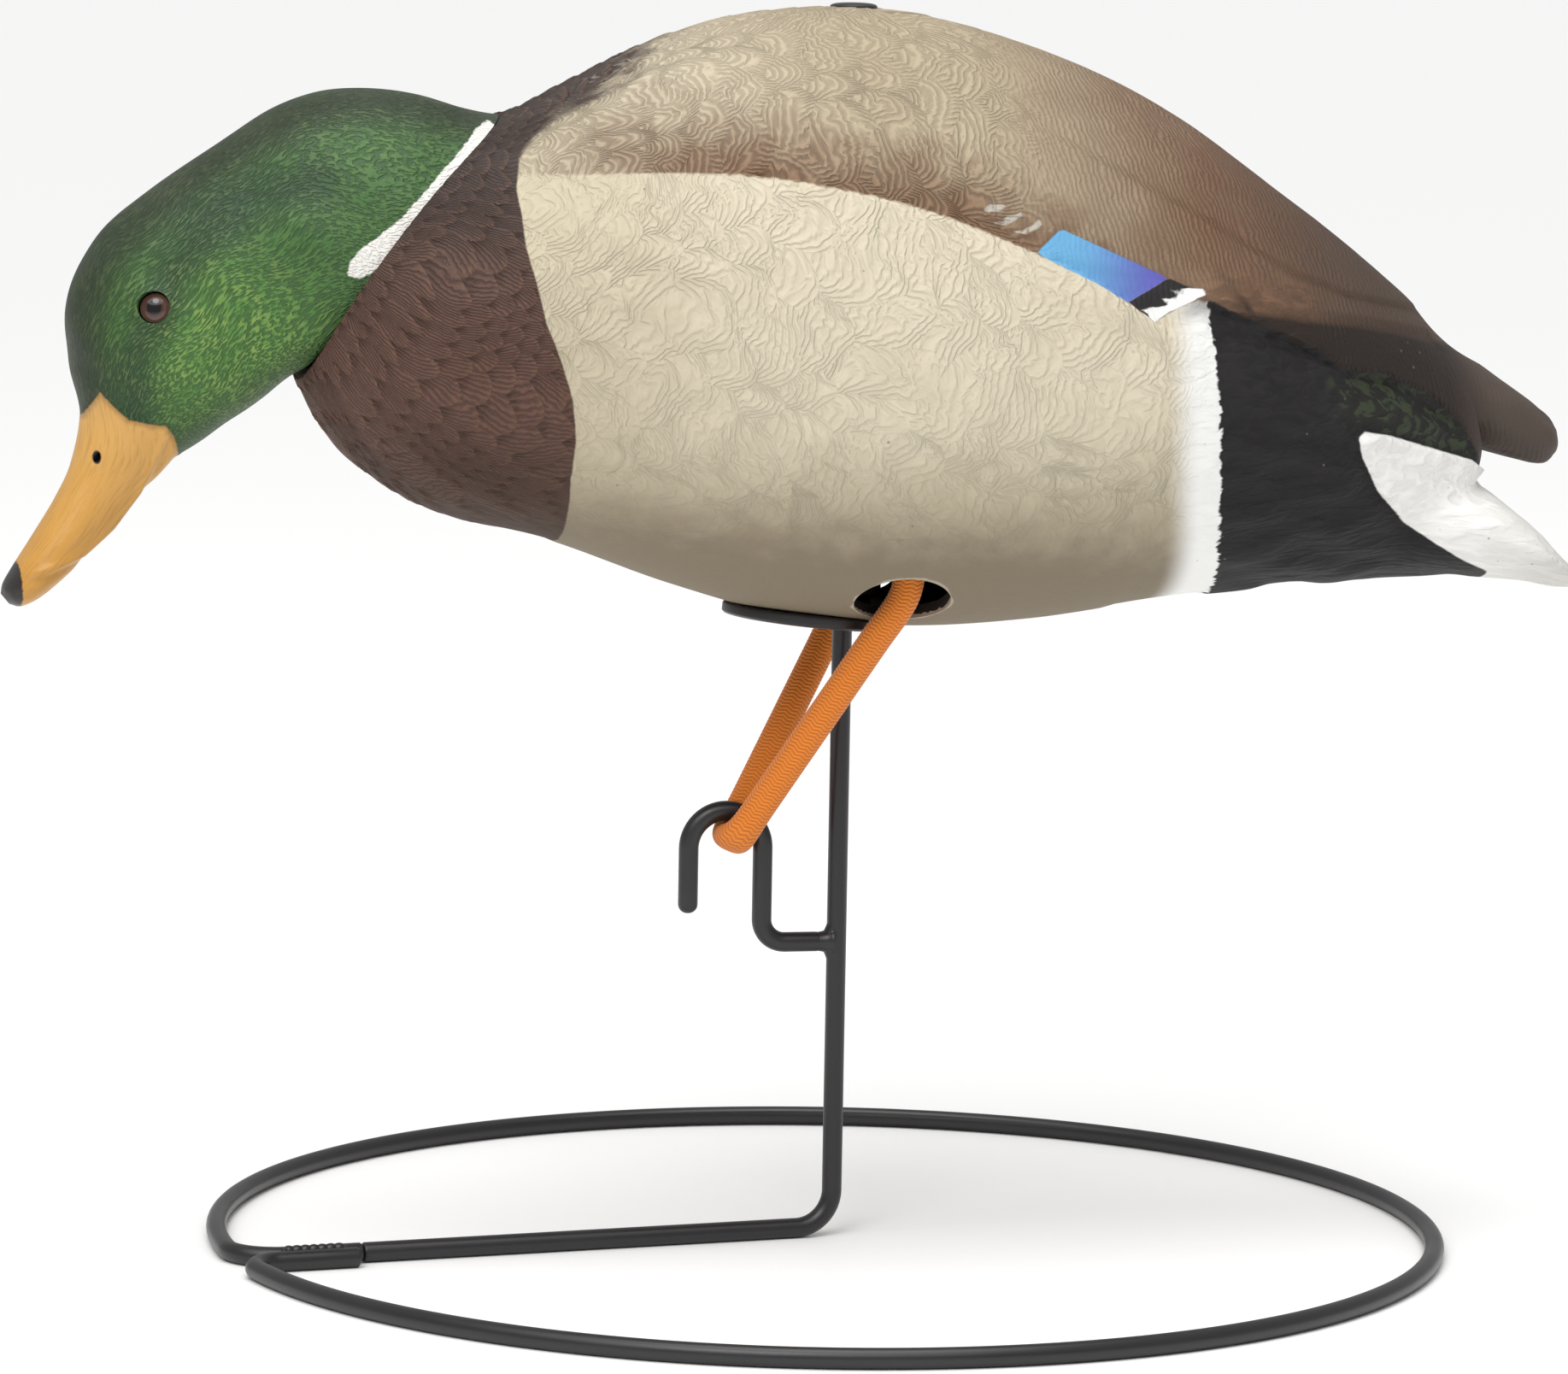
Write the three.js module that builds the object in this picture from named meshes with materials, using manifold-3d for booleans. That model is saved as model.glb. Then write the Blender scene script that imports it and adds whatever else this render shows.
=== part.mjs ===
// A full-body mallard drake decoy, head down as if feeding, on a ring-base wire stand.
// The hollow body turns on the tip of the stand's post, and a loop of elastic cord that
// passes through its two leg holes and under a hook on the post springs it back to rest.
// Millimetres, +Z up, bill towards -X. Lengths are measured from the post's axis at ground
// level, and the whole model is then shifted so that its origin is the middle of its base.
import * as THREE from 'three';
import { LoftGeometry } from 'three/addons/geometries/LoftGeometry.js';
import { mergeVertices } from 'three/addons/utils/BufferGeometryUtils.js';
import Module from 'manifold-3d';

// ---- driving dimensions ----
const GAP = 0.3;                // left between pieces that touch
const ORIGIN_SHIFT = 14.3;      // post axis ahead of (+X of) the middle of the base

// wire stand
const ROD_R = 3.175;            // 1/4 inch steel rod
const ROD_SIDES = 8;
const RING_R = 195;             // centre line of the base ring
const RING_X = -2;              // ring centre, behind the post axis
const ARM_YAW = 8;              // degrees that the arm swings off the -X axis, towards -Y
const LONG_BEND_R = 15;         // where the ring's long end turns inwards
const SHORT_BEND_R = 10;        // and its short end
const SHORT_END = 26;           // short end of the ring rod, lying beside the arm
const STUB_END = 24;            // ring rod's long end, up to where the arm's node begins
const POST_BEND_R = 12;
const POST_TIP_Z = 377;

// hook on the post
const HOOK_Z = 95.8;
const HOOK_IN_X = -24.6;        // vertical leg nearer the post
const HOOK_OUT_X = -48.7;       // free leg
const HOOK_TOP_Z = 138.4;       // centre line at the top of the arch
const HOOK_TIP_Z = 105.6;
const HOOK_BEND_R = 7.5;
const HOOK_ROOT_X = -ROD_R - GAP - 0.4; // where the hook's rod starts, clear of the post
const ARCH_R = (HOOK_IN_X - HOOK_OUT_X) / 2;
const WELD = { clear: 0.7, half: 6.5, r: 5.2, endR: 4.2, coneR: 4.9, coneReach: 8 };
const BEAD = { r: 1.25, rise: 3.1, from: 2, to: 23 };   // weld bead at the ring's ends

// hollow moulded body and head
const WALL = 3;
const SEAM_TOP = [-112.5, 359.5];   // where the head meets the body, on the back
const SEAM_LOW = [-173.5, 279]; // and on the breast
const SEAM_SADDLE_R = 110;       // the seam curves forward round the sides of the neck
const PLUG_LENGTH = 40;
const PLUG_HALF = 34;           // half the plug's height, along the seam
const PLUG_HALF_Y = 26;

// leg holes, cord and its anchor
const LEG_HOLE = { x: 10, y: 38, z: 210.8, r: 15.2, reach: 22 };
const CORD_R = 4.75;            // 3/8 inch elastic shock cord
const CORD_SIDES = 10;
const CORD_LEAN = [0.511, 0.86];    // X, Z direction in which the cord's loop pulls on the arch
const STRAND_ANGLE = 16;        // degrees short of a half turn that the cord wraps the hook
const BAR = { x: 14.5, z: 257, r: 3, half: 47.5 };
const BAR_CAP = { r: 6, over: 1.6, lap: 3.4 };
const LUG = { wall: 3.5, half: 14 };    // lug of the pivot tube that the bar passes through
const CORD_END_Y = 36;
const CORD_END_R = 7.5;
const CORD_END_Z = [243, 263];
const CORD_END_BORE = 9;
const CORD_END_SLACK = 0.8;
// The cord's way up through a leg hole, X and Y and Z on the +Y side.
const CORD_CLIMB = [
  [11.6, 33, 209], [13.6, 34.8, 219], [14.3, 35.8, 229], [BAR.x, CORD_END_Y, 240],
  [BAR.x, CORD_END_Y, 245],
];

// belly flange, pivot tube, cup and cap, all round the post's axis
const FLANGE = { x: -11, z: 198.8, a: 28, b: 25, thick: 4, tilt: 5.5 };
const BOSS = { low: -12, margin: 4, roof: 3.8 };    // solid left round the flange's pocket
const HUB_BOTTOM_Z = 200;
const HUB_HOLE_Z = [190, 225];
const HUB_R = 8.7;
const HUB_BORE_R = 6;
const HUB_TOP_Z = 236;
const TUBE_R = 12;
const TUBE_TOP_Z = 386.2;
const FLOOR_Z = 208.4;
const CUP_BOTTOM_Z = 360;
const CAP_R = 7.5;
const CAP_TOP_Z = 394.6;
const CAP_STEM_R = 3.6;
const CAP_STEM_Z = 380.8;
const CAP_RIM_Z = 392.9;
const CAP_HOLE_Z = [380, 400];
const POST_SLACK = 1.1;         // round the post's tip in the cup's socket

const EYE = { x: -222.6, y: 23, z: 298.8, r: 4.7, back: 2.2, rim: 0.6, dome: 1.8 };
const EYE_SOCKET = [-2.6, 12];  // from its floor to well outside the head, along the eye's axis
const HEAD_HOLLOW_FROM = 4.5;   // the head's hollow starts this far from the seam

// Ribs of the hollow shells: the point on the upper outline, the point on the lower
// outline (each X, Z) and the half width between them.
const BODY_RIBS = [
  [[-146, 347], [-178.5, 290], 20],
  [[-132, 352], [-177.3, 283], 37],
  [[-119, 357], [-173.9, 272.4], 50],
  [[-106, 360.4], [-160.5, 252.5], 62],
  [[-88, 369.6], [-133, 234.8], 72],
  [[-64, 381.6], [-96, 225.3], 80],
  [[-36, 389.8], [-57, 211.5], 84],
  [[-5, 392.6], [-17, 200.7], 86],
  [[28, 389.3], [21, 197.8], 86],
  [[66, 378.7], [60, 200.1], 84],
  [[106, 358.9], [100, 206.2], 77],
  [[146, 331.4], [142, 210.4], 64],
  [[176, 307.2], [174, 212], 49],
  [[189, 294], [188, 212.4], 40],
  [[199, 286.6], [199, 214.5], 32],
  [[203.5, 276], [203.5, 224], 24],
];
const TAIL_TIP_RIBS = [
  [[172, 304], [172, 262], 24],
  [[205, 283.6], [205, 255], 22],
  [[222, 272.6], [222, 250.6], 17],
  [[231, 266], [231, 248.8], 12.5],
  [[235.6, 261], [235.2, 252], 6],
];
const TAIL_FAN_RIBS = [
  [[176, 256], [176, 214.5], 42],
  [[205, 244.6], [205, 213], 43],
  [[221, 232.4], [221, 211.8], 42],
  [[232, 222.8], [232, 210], 40],
  [[238.5, 216.8], [238.5, 209.6], 36],
];
const HEAD_RIBS = [
  [[-86, 362], [-152, 256], 36],
  [[-99, 359.6], [-162, 266], 39],
  [[-112.5, 358.6], [-172, 280], 39.5],
  [[-124, 360.2], [-176.5, 277.8], 38],
  [[-139, 364.6], [-182, 274], 36],
  [[-158, 366.1], [-187.5, 269.6], 33],
  [[-177, 362.5], [-193, 265.2], 30.5],
  [[-196, 351.9], [-199, 261.1], 29],
  [[-214, 339.5], [-205, 256.8], 28],
  [[-231, 326.8], [-208.7, 254.4], 27],
  [[-242.3, 313], [-211.5, 252.8], 24.5],
  [[-247.7, 297], [-213.7, 251.2], 21],
  [[-246.6, 281.7], [-215.7, 249], 17],
  [[-243, 266], [-219, 245.2], 14],
  [[-245.6, 250], [-226.5, 236.6], 12.5],
  [[-250.4, 239], [-235, 226.3], 13],
  [[-257.2, 227.5], [-245.5, 216.1], 13.8],
  [[-263, 218.2], [-254.5, 208.4], 13.2],
  [[-266.4, 212.4], [-260.8, 205.2], 9.5],
  [[-267.2, 209], [-264.6, 205.8], 4.5],
];
const BILL_RIB = 12;            // the first rib of HEAD_RIBS that is bill, not skull

const WELD_TOLERANCE = 1e-4;

const wasm = await Module();
wasm.setup();

// ---- solids: three.js geometry in, manifold-3d joins and cuts, three.js geometry out ----
function toSolid(geometry) {
  const bare = new THREE.BufferGeometry();
  bare.setAttribute('position', geometry.attributes.position);
  bare.setIndex(geometry.index);
  const welded = mergeVertices(bare, WELD_TOLERANCE);
  const corners = Array.from(welded.index.array);
  const triVerts = [];
  for (let i = 0; i < corners.length; i += 3) {
    const [a, b, c] = corners.slice(i, i + 3);
    if (a !== b && b !== c && c !== a) triVerts.push(a, b, c);
  }
  const mesh = new wasm.Mesh({
    numProp: 3,
    vertProperties: new Float32Array(welded.attributes.position.array),
    triVerts: new Uint32Array(triVerts),
  });
  return new wasm.Manifold(mesh);
}

function toGeometry(solid) {
  const mesh = solid.getMesh();
  const geometry = new THREE.BufferGeometry();
  const positions = new THREE.BufferAttribute(new Float32Array(mesh.vertProperties), 3);
  geometry.setAttribute('position', positions);
  geometry.setIndex(new THREE.BufferAttribute(new Uint32Array(mesh.triVerts), 1));
  geometry.computeVertexNormals();
  return geometry;
}

// A cylinder between two points, as a geometry.
function rodBetween(from, to, radius, sides = 24) {
  const start = new THREE.Vector3(...from);
  const along = new THREE.Vector3(...to).sub(start);
  const geometry = new THREE.CylinderGeometry(radius, radius, along.length(), sides);
  const up = new THREE.Vector3(0, 1, 0);
  const turn = new THREE.Quaternion().setFromUnitVectors(up, along.clone().normalize());
  geometry.applyQuaternion(turn);
  const middle = start.clone().addScaledVector(along, 0.5);
  geometry.translate(middle.x, middle.y, middle.z);
  return geometry;
}

// A solid cylinder on the post's axis, between two heights.
function upright([low, high], radius, sides = 24) {
  return toSolid(rodBetween([0, 0, low], [0, 0, high], radius, sides));
}

// A turned piece about the Z axis, from [radius, z] corners listed from the bottom up.
function turned(corners, sides = 24) {
  const profile = corners.map(([r, z]) => new THREE.Vector2(r, z));
  return new THREE.LatheGeometry(profile, sides).rotateX(Math.PI / 2);
}

// ---- bent rods ----
// A curve through given stations, each of which becomes one step of the extrusion.
class StationCurve extends THREE.Curve {
  constructor(stations) {
    super();
    this.stations = stations;
  }
  getPoint(t, target = new THREE.Vector3()) {
    const last = this.stations.length - 1;
    const i = Math.min(Math.floor(t * last), last - 1);
    return target.lerpVectors(this.stations[i], this.stations[i + 1], t * last - i);
  }
  getPointAt(t, target) {
    return this.getPoint(t, target);
  }
  getTangentAt(t, target = new THREE.Vector3()) {
    const last = this.stations.length - 1;
    const i = Math.round(t * last);
    const before = this.stations[Math.max(i - 1, 0)];
    const after = this.stations[Math.min(i + 1, last)];
    return target.subVectors(after, before).normalize();
  }
}

// Stations along straight runs whose corners are rounded with an arc of the given radius.
function roundedRun(corners, radius, stepsPerBend = 6) {
  const points = corners.map((corner) => new THREE.Vector3(...corner));
  const stations = [points[0]];
  for (let i = 1; i < points.length - 1; i += 1) {
    const back = points[i - 1].clone().sub(points[i]).normalize();
    const ahead = points[i + 1].clone().sub(points[i]).normalize();
    const halfAngle = back.angleTo(ahead) / 2;
    const setBack = radius / Math.tan(halfAngle);
    const centre = back.clone().add(ahead).normalize();
    centre.multiplyScalar(radius / Math.sin(halfAngle)).add(points[i]);
    const from = points[i].clone().addScaledVector(back, setBack).sub(centre);
    const to = points[i].clone().addScaledVector(ahead, setBack).sub(centre);
    const sweep = from.angleTo(to);
    for (let k = 0; k <= stepsPerBend; k += 1) {
      const part = (k / stepsPerBend) * sweep;
      const a = Math.sin(sweep - part) / Math.sin(sweep);
      const b = Math.sin(part) / Math.sin(sweep);
      stations.push(centre.clone().addScaledVector(from, a).addScaledVector(to, b));
    }
  }
  stations.push(points[points.length - 1]);
  return stations;
}

// A rod whose flat facets touch the true radius, swept along its stations.
function sweptRod(stations, radius, sides) {
  const corner = radius / Math.cos(Math.PI / sides);
  const section = new THREE.Shape();
  for (let k = 0; k < sides; k += 1) {
    const angle = ((k + 0.5) / sides) * 2 * Math.PI;
    const x = corner * Math.cos(angle);
    const y = corner * Math.sin(angle);
    if (k === 0) section.moveTo(x, y);
    else section.lineTo(x, y);
  }
  section.closePath();
  const path = new StationCurve(stations);
  return new THREE.ExtrudeGeometry(section, { steps: stations.length - 1, extrudePath: path });
}

// ---- lofted shells ----
// The ribs' outlines are joined by smooth curves, and each section is an oval between them.
function loftSections(ribs, rows, columns, inset, from, to) {
  const upper = ribs.map(([top, , half]) => new THREE.Vector3(top[0], half, top[1]));
  const lower = ribs.map(([, low]) => new THREE.Vector3(low[0], 0, low[1]));
  const upperCurve = new THREE.CatmullRomCurve3(upper, false, 'catmullrom', 0.5);
  const lowerCurve = new THREE.CatmullRomCurve3(lower, false, 'catmullrom', 0.5);
  const turn = Math.sign(upper[upper.length - 1].x - upper[0].x);
  const sections = [];
  for (let i = 0; i < rows; i += 1) {
    const t = from + ((to - from) * i) / (rows - 1);
    const top = upperCurve.getPoint(t);
    const low = lowerCurve.getPoint(t);
    const halfWidth = top.y - inset;
    top.y = 0;
    const centre = top.clone().add(low).multiplyScalar(0.5);
    const halfHeight = top.clone().sub(centre);
    halfHeight.setLength(halfHeight.length() - inset);
    const section = [];
    for (let k = 0; k < columns; k += 1) {
      const angle = (k / columns) * 2 * Math.PI;
      const point = centre.clone().addScaledVector(halfHeight, Math.sin(angle));
      point.y = halfWidth * Math.cos(angle) * turn;
      section.push(point);
    }
    sections.push(section);
  }
  return sections;
}

// Each end is closed by drawing its last section in to the section's centre.
function loftSolid(ribs, rows, columns, { inset = 0, from = 0, to = 1 } = {}) {
  const sections = loftSections(ribs, rows, columns, inset, from, to);
  const drawnIn = (section) => {
    const centre = section[0].clone().lerp(section[columns / 2], 0.5);
    return section.map(() => centre);
  };
  const rings = [drawnIn(sections[0]), ...sections, drawnIn(sections[rows - 1])];
  return toSolid(new LoftGeometry(rings));
}

// Everything on the head's side of the seam: a long block with a rounded back, so that
// the seam runs forward round the sides of the neck. offset moves it towards the head.
const seamDown = new THREE.Vector2(SEAM_LOW[0] - SEAM_TOP[0], SEAM_LOW[1] - SEAM_TOP[1]);
seamDown.normalize();
const seamOut = new THREE.Vector2(seamDown.y, -seamDown.x);
const seamMiddle = [(SEAM_TOP[0] + SEAM_LOW[0]) / 2, (SEAM_TOP[1] + SEAM_LOW[1]) / 2];

function seamFrame() {
  const out = new THREE.Vector3(seamOut.x, 0, seamOut.y);
  const across = new THREE.Vector3(0, 1, 0);
  const down = new THREE.Vector3().crossVectors(out, across);
  const frame = new THREE.Matrix4().makeBasis(out, across, down);
  return frame.setPosition(seamMiddle[0], 0, seamMiddle[1]);
}

function headSide(offset, reach = 220) {
  const outline = new THREE.Shape();
  outline.moveTo(reach, -SEAM_SADDLE_R);
  outline.lineTo(reach, SEAM_SADDLE_R);
  outline.lineTo(SEAM_SADDLE_R, SEAM_SADDLE_R);
  outline.absarc(SEAM_SADDLE_R, 0, SEAM_SADDLE_R, Math.PI / 2, 1.5 * Math.PI, false);
  const options = { depth: 2 * reach, bevelEnabled: false, curveSegments: 24 };
  const block = new THREE.ExtrudeGeometry(outline, options);
  block.translate(offset, 0, -reach);
  return toSolid(block.applyMatrix4(seamFrame()));
}

// An oval post on the neck's axis, from one distance off the seam to another.
function neckOval(halfHeight, halfWidth, start, end) {
  const oval = new THREE.CylinderGeometry(1, 1, end - start, 28);
  oval.scale(halfHeight, 1, halfWidth);
  oval.rotateZ(-Math.PI / 2);
  oval.translate((start + end) / 2, 0, 0);
  const turn = new THREE.Matrix4().makeRotationX(Math.PI / 2);
  return toSolid(oval.applyMatrix4(turn).applyMatrix4(seamFrame()));
}

// A point given in the flange's own tilted frame, with its origin at the flange's centre.
function flangePlate(halfX, halfY, low, high, sides = 32) {
  const plate = new THREE.CylinderGeometry(1, 1, high - low, sides);
  plate.rotateX(Math.PI / 2).scale(halfX, halfY, 1).translate(0, 0, (low + high) / 2);
  plate.rotateY(THREE.MathUtils.degToRad(FLANGE.tilt)).translate(FLANGE.x, 0, FLANGE.z);
  return toSolid(plate);
}

// Outward direction of the body at a leg hole.
function legHoleAxis(side) {
  return new THREE.Vector3(0.04, side * 0.52, -0.85).normalize();
}

function legHole(side) {
  const centre = new THREE.Vector3(LEG_HOLE.x, side * LEG_HOLE.y, LEG_HOLE.z);
  const axis = legHoleAxis(side);
  const from = centre.clone().addScaledVector(axis, -LEG_HOLE.reach).toArray();
  const to = centre.clone().addScaledVector(axis, LEG_HOLE.reach).toArray();
  return toSolid(rodBetween(from, to, LEG_HOLE.r, 28));
}

// ---- the decoy's pieces ----
function bodyShell() {
  const main = loftSolid(BODY_RIBS, 34, 32);
  const tip = loftSolid(TAIL_TIP_RIBS, 8, 20);
  const fan = loftSolid(TAIL_FAN_RIBS, 8, 24);
  const cavity = loftSolid(BODY_RIBS, 24, 24, { inset: WALL, to: 0.93 });
  const { margin, low, roof } = BOSS;
  const boss = flangePlate(FLANGE.a + margin, FLANGE.b + margin, low, FLANGE.thick + roof);
  const pocket = flangePlate(FLANGE.a + GAP, FLANGE.b + GAP, low, FLANGE.thick + GAP);
  const hubHole = upright(HUB_HOLE_Z, HUB_R + GAP);
  const capHole = upright(CAP_HOLE_Z, CAP_STEM_R + GAP);
  return main.add(tip).add(fan)
    .subtract(cavity.subtract(boss))
    .subtract(headSide(-GAP))
    .subtract(pocket)
    .subtract(hubHole)
    .subtract(capHole)
    .subtract(legHole(-1))
    .subtract(legHole(1));
}

function eyeDirection(side) {
  return new THREE.Vector3(-0.3, side * 0.93, 0.2).normalize();
}

function headShell() {
  const outer = loftSolid(HEAD_RIBS, 46, 28).intersect(headSide(0));
  const skullEnd = (BILL_RIB - 2) / (HEAD_RIBS.length - 1);
  const skull = loftSolid(HEAD_RIBS, 18, 18, { inset: WALL, to: skullEnd });
  const hollow = skull.intersect(headSide(HEAD_HOLLOW_FROM));
  const plug = neckOval(PLUG_HALF, PLUG_HALF_Y, -PLUG_LENGTH, 24);
  const plugBore = neckOval(PLUG_HALF - WALL, PLUG_HALF_Y - WALL, -PLUG_LENGTH - 1, 34);
  let head = outer.subtract(hollow).add(plug).subtract(plugBore);
  for (const side of [-1, 1]) {
    const out = eyeDirection(side);
    const centre = new THREE.Vector3(EYE.x, side * EYE.y, EYE.z);
    const [deep, clear] = EYE_SOCKET.map((d) => centre.clone().addScaledVector(out, d).toArray());
    head = head.subtract(toSolid(rodBetween(deep, clear, EYE.r + GAP, 20)));
  }
  return head;
}

// An eye is a low dome on a short round shank, set in the head's socket.
function eyeGeometry() {
  const profile = [[0, -EYE.back], [EYE.r, -EYE.back], [EYE.r, EYE.rim]];
  const domeSteps = 5;
  for (let k = 1; k < domeSteps; k += 1) {
    const angle = ((k / domeSteps) * Math.PI) / 2;
    profile.push([EYE.r * Math.cos(angle), EYE.rim + EYE.dome * Math.sin(angle)]);
  }
  profile.push([0, EYE.rim + EYE.dome]);
  return turned(profile, 20);
}

function bellyFlange() {
  const plate = flangePlate(FLANGE.a, FLANGE.b, 0, FLANGE.thick);
  const hub = upright([HUB_BOTTOM_Z, HUB_TOP_Z], HUB_R);
  const bore = upright([HUB_HOLE_Z[0], HUB_TOP_Z + 1], HUB_BORE_R);
  return plate.add(hub).subtract(bore);
}

// A solid cylinder on the anchor bar's line, reaching equally far to both sides.
function barwise(half, radius, sides = 16, middle = 0) {
  const { x, z } = BAR;
  return toSolid(rodBetween([x, middle - half, z], [x, middle + half, z], radius, sides));
}

function pivotTube() {
  const outside = upright([FLOOR_Z, TUBE_TOP_Z], TUBE_R);
  const inside = upright([FLOOR_Z - 1, TUBE_TOP_Z + 1], HUB_R + GAP);
  const lug = barwise(LUG.half, BAR.r + LUG.wall, 20);
  const barHole = barwise(LUG.half + 1, BAR.r + GAP);
  return outside.add(lug).subtract(inside).subtract(barHole);
}

// The cup has a blind socket for the post's tip below and another for the cap's stem above.
function pivotCup() {
  const cup = upright([CUP_BOTTOM_Z, TUBE_TOP_Z], HUB_R);
  const socket = upright([CUP_BOTTOM_Z - 1, POST_TIP_Z + GAP], ROD_R + POST_SLACK);
  const stemHole = upright([CAP_STEM_Z - GAP, TUBE_TOP_Z + 1], CAP_STEM_R + GAP);
  return cup.subtract(socket).subtract(stemHole);
}

function backCap() {
  return turned([
    [0, CAP_STEM_Z], [CAP_STEM_R, CAP_STEM_Z], [CAP_STEM_R, CAP_RIM_Z], [CAP_R, CAP_RIM_Z],
    [CAP_R, CAP_RIM_Z + 0.5], [CAP_R * 0.86, CAP_TOP_Z - 0.5], [CAP_R * 0.5, CAP_TOP_Z - 0.1],
    [0, CAP_TOP_Z],
  ]);
}

function cordEnd(side) {
  const y = side * CORD_END_Y;
  const [low, high] = CORD_END_Z;
  const outside = toSolid(rodBetween([BAR.x, y, low], [BAR.x, y, high], CORD_END_R, 20));
  const boreR = CORD_R + CORD_END_SLACK;
  const top = low + CORD_END_BORE;
  const bore = toSolid(rodBetween([BAR.x, y, low - 1], [BAR.x, y, top], boreR, 20));
  const eye = barwise(2 * CORD_END_R, BAR.r + GAP, 16, y);
  return outside.subtract(bore).subtract(eye);
}

// Push-on cap that keeps a cord end from sliding off the bar.
function barCap(side) {
  const at = (reach) => [BAR.x, side * reach, BAR.z];
  const inner = BAR.half - BAR_CAP.lap;
  const outside = toSolid(rodBetween(at(inner), at(BAR.half + BAR_CAP.over), BAR_CAP.r, 16));
  const bore = toSolid(rodBetween(at(inner - 1), at(BAR.half + GAP), BAR.r + GAP, 16));
  return outside.subtract(bore);
}

// The cord loops under the arch of the hook and climbs through both leg holes to its ends.
function cordStations() {
  const archCentre = [(HOOK_IN_X + HOOK_OUT_X) / 2, HOOK_TOP_Z - ARCH_R];
  const lean = new THREE.Vector2(...CORD_LEAN);
  const rodPoint = [archCentre[0] + ARCH_R * lean.x, archCentre[1] + ARCH_R * lean.y];
  const loopR = ROD_R + CORD_R + 2 * GAP;
  const strandAngle = THREE.MathUtils.degToRad(STRAND_ANGLE);
  const onLoop = (angle) => {
    const up = loopR * Math.sin(angle);
    const across = loopR * Math.cos(angle);
    return new THREE.Vector3(rodPoint[0] + up * lean.x, across, rodPoint[1] + up * lean.y);
  };
  const loopSteps = 10;
  const loop = [];
  for (let k = 0; k <= loopSteps; k += 1) {
    const angle = -Math.PI + strandAngle + ((Math.PI - 2 * strandAngle) * k) / loopSteps;
    loop.push(onLoop(angle));
  }
  const legStations = (side) => {
    const leg = CORD_CLIMB.map(([x, y, z]) => new THREE.Vector3(x, side * y, z));
    const foot = onLoop(side > 0 ? -strandAngle : -Math.PI + strandAngle);
    const straight = [];
    const straightSteps = 6;
    for (let k = 1; k < straightSteps; k += 1) {
      straight.push(new THREE.Vector3().lerpVectors(foot, leg[0], k / straightSteps));
    }
    const curve = new THREE.CatmullRomCurve3([straight[straight.length - 1], ...leg]);
    const bend = curve.getPoints(12);
    const top = CORD_END_Z[0] + CORD_END_BORE - GAP;
    bend.push(new THREE.Vector3(BAR.x, side * CORD_END_Y, top));
    return [...straight.slice(0, -1), ...bend];
  };
  return [...legStations(-1).reverse(), ...loop, ...legStations(1)];
}

// ---- the stand's pieces ----
// The arm's line: a point at a distance from the post axis, moved sideways by offset.
function onArm(distance, offset = 0) {
  const yaw = THREE.MathUtils.degToRad(180 + ARM_YAW);
  const x = distance * Math.cos(yaw) - offset * Math.sin(yaw);
  const y = distance * Math.sin(yaw) + offset * Math.cos(yaw);
  return [x, y, ROD_R];
}

// Centre and end points of the bend that leads from the ring into a run parallel to the
// arm. side is +1 for the short end, on the arm's -Y side, and -1 for the long end.
function ringBend(side, offset) {
  const yaw = THREE.MathUtils.degToRad(180 + ARM_YAW);
  const out = new THREE.Vector2(Math.cos(yaw), Math.sin(yaw));
  const left = new THREE.Vector2(-out.y, out.x);
  const radius = side > 0 ? SHORT_BEND_R : LONG_BEND_R;
  const ringCentre = new THREE.Vector2(RING_X, 0);
  const sideways = offset + side * radius;
  const across = sideways - ringCentre.dot(left);
  const alongRing = Math.sqrt((RING_R - radius) ** 2 - across ** 2);
  const along = alongRing + ringCentre.dot(out);
  const centre = out.clone().multiplyScalar(along).addScaledVector(left, sideways);
  const toRing = centre.clone().sub(ringCentre).normalize();
  return { centre, left, radius, toRing, along };
}

function bendStations(bend, side, steps) {
  const start = Math.atan2(bend.toRing.y, bend.toRing.x);
  const inward = bend.left.clone().multiplyScalar(-side);
  let end = Math.atan2(inward.y, inward.x);
  while (side > 0 && end > start) end -= 2 * Math.PI;
  while (side < 0 && end < start) end += 2 * Math.PI;
  const stations = [];
  for (let k = 0; k <= steps; k += 1) {
    const angle = start + ((end - start) * k) / steps;
    const x = bend.centre.x + bend.radius * Math.cos(angle);
    const y = bend.centre.y + bend.radius * Math.sin(angle);
    stations.push(new THREE.Vector3(x, y, ROD_R));
  }
  return stations;
}

// One rod: the long end's stub, its bend, the ring, the other bend and the short end.
function ringStations() {
  const shortOffset = 2 * ROD_R + GAP;
  const longBend = ringBend(-1, 0);
  const shortBend = ringBend(1, shortOffset);
  const longStations = bendStations(longBend, -1, 7).reverse();
  const shortStations = bendStations(shortBend, 1, 7);
  const stub = new THREE.Vector3(...onArm(longBend.along - STUB_END, 0));
  const tail = new THREE.Vector3(...onArm(shortBend.along - SHORT_END, shortOffset));
  const start = Math.atan2(longBend.toRing.y, longBend.toRing.x);
  let end = Math.atan2(shortBend.toRing.y, shortBend.toRing.x);
  while (end > start) end -= 2 * Math.PI;
  const ringSteps = 68;
  const ring = [];
  for (let k = 1; k < ringSteps; k += 1) {
    const angle = start + ((end - start) * k) / ringSteps;
    const x = RING_X + RING_R * Math.cos(angle);
    ring.push(new THREE.Vector3(x, RING_R * Math.sin(angle), ROD_R));
  }
  return [stub, ...longStations, ...ring, ...shortStations, tail];
}

function armPostStations() {
  const stubEnd = ringBend(-1, 0).along - STUB_END - GAP;
  const corners = [onArm(stubEnd), [0, 0, ROD_R], [0, 0, POST_TIP_Z]];
  return roundedRun(corners, POST_BEND_R, 8);
}

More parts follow.
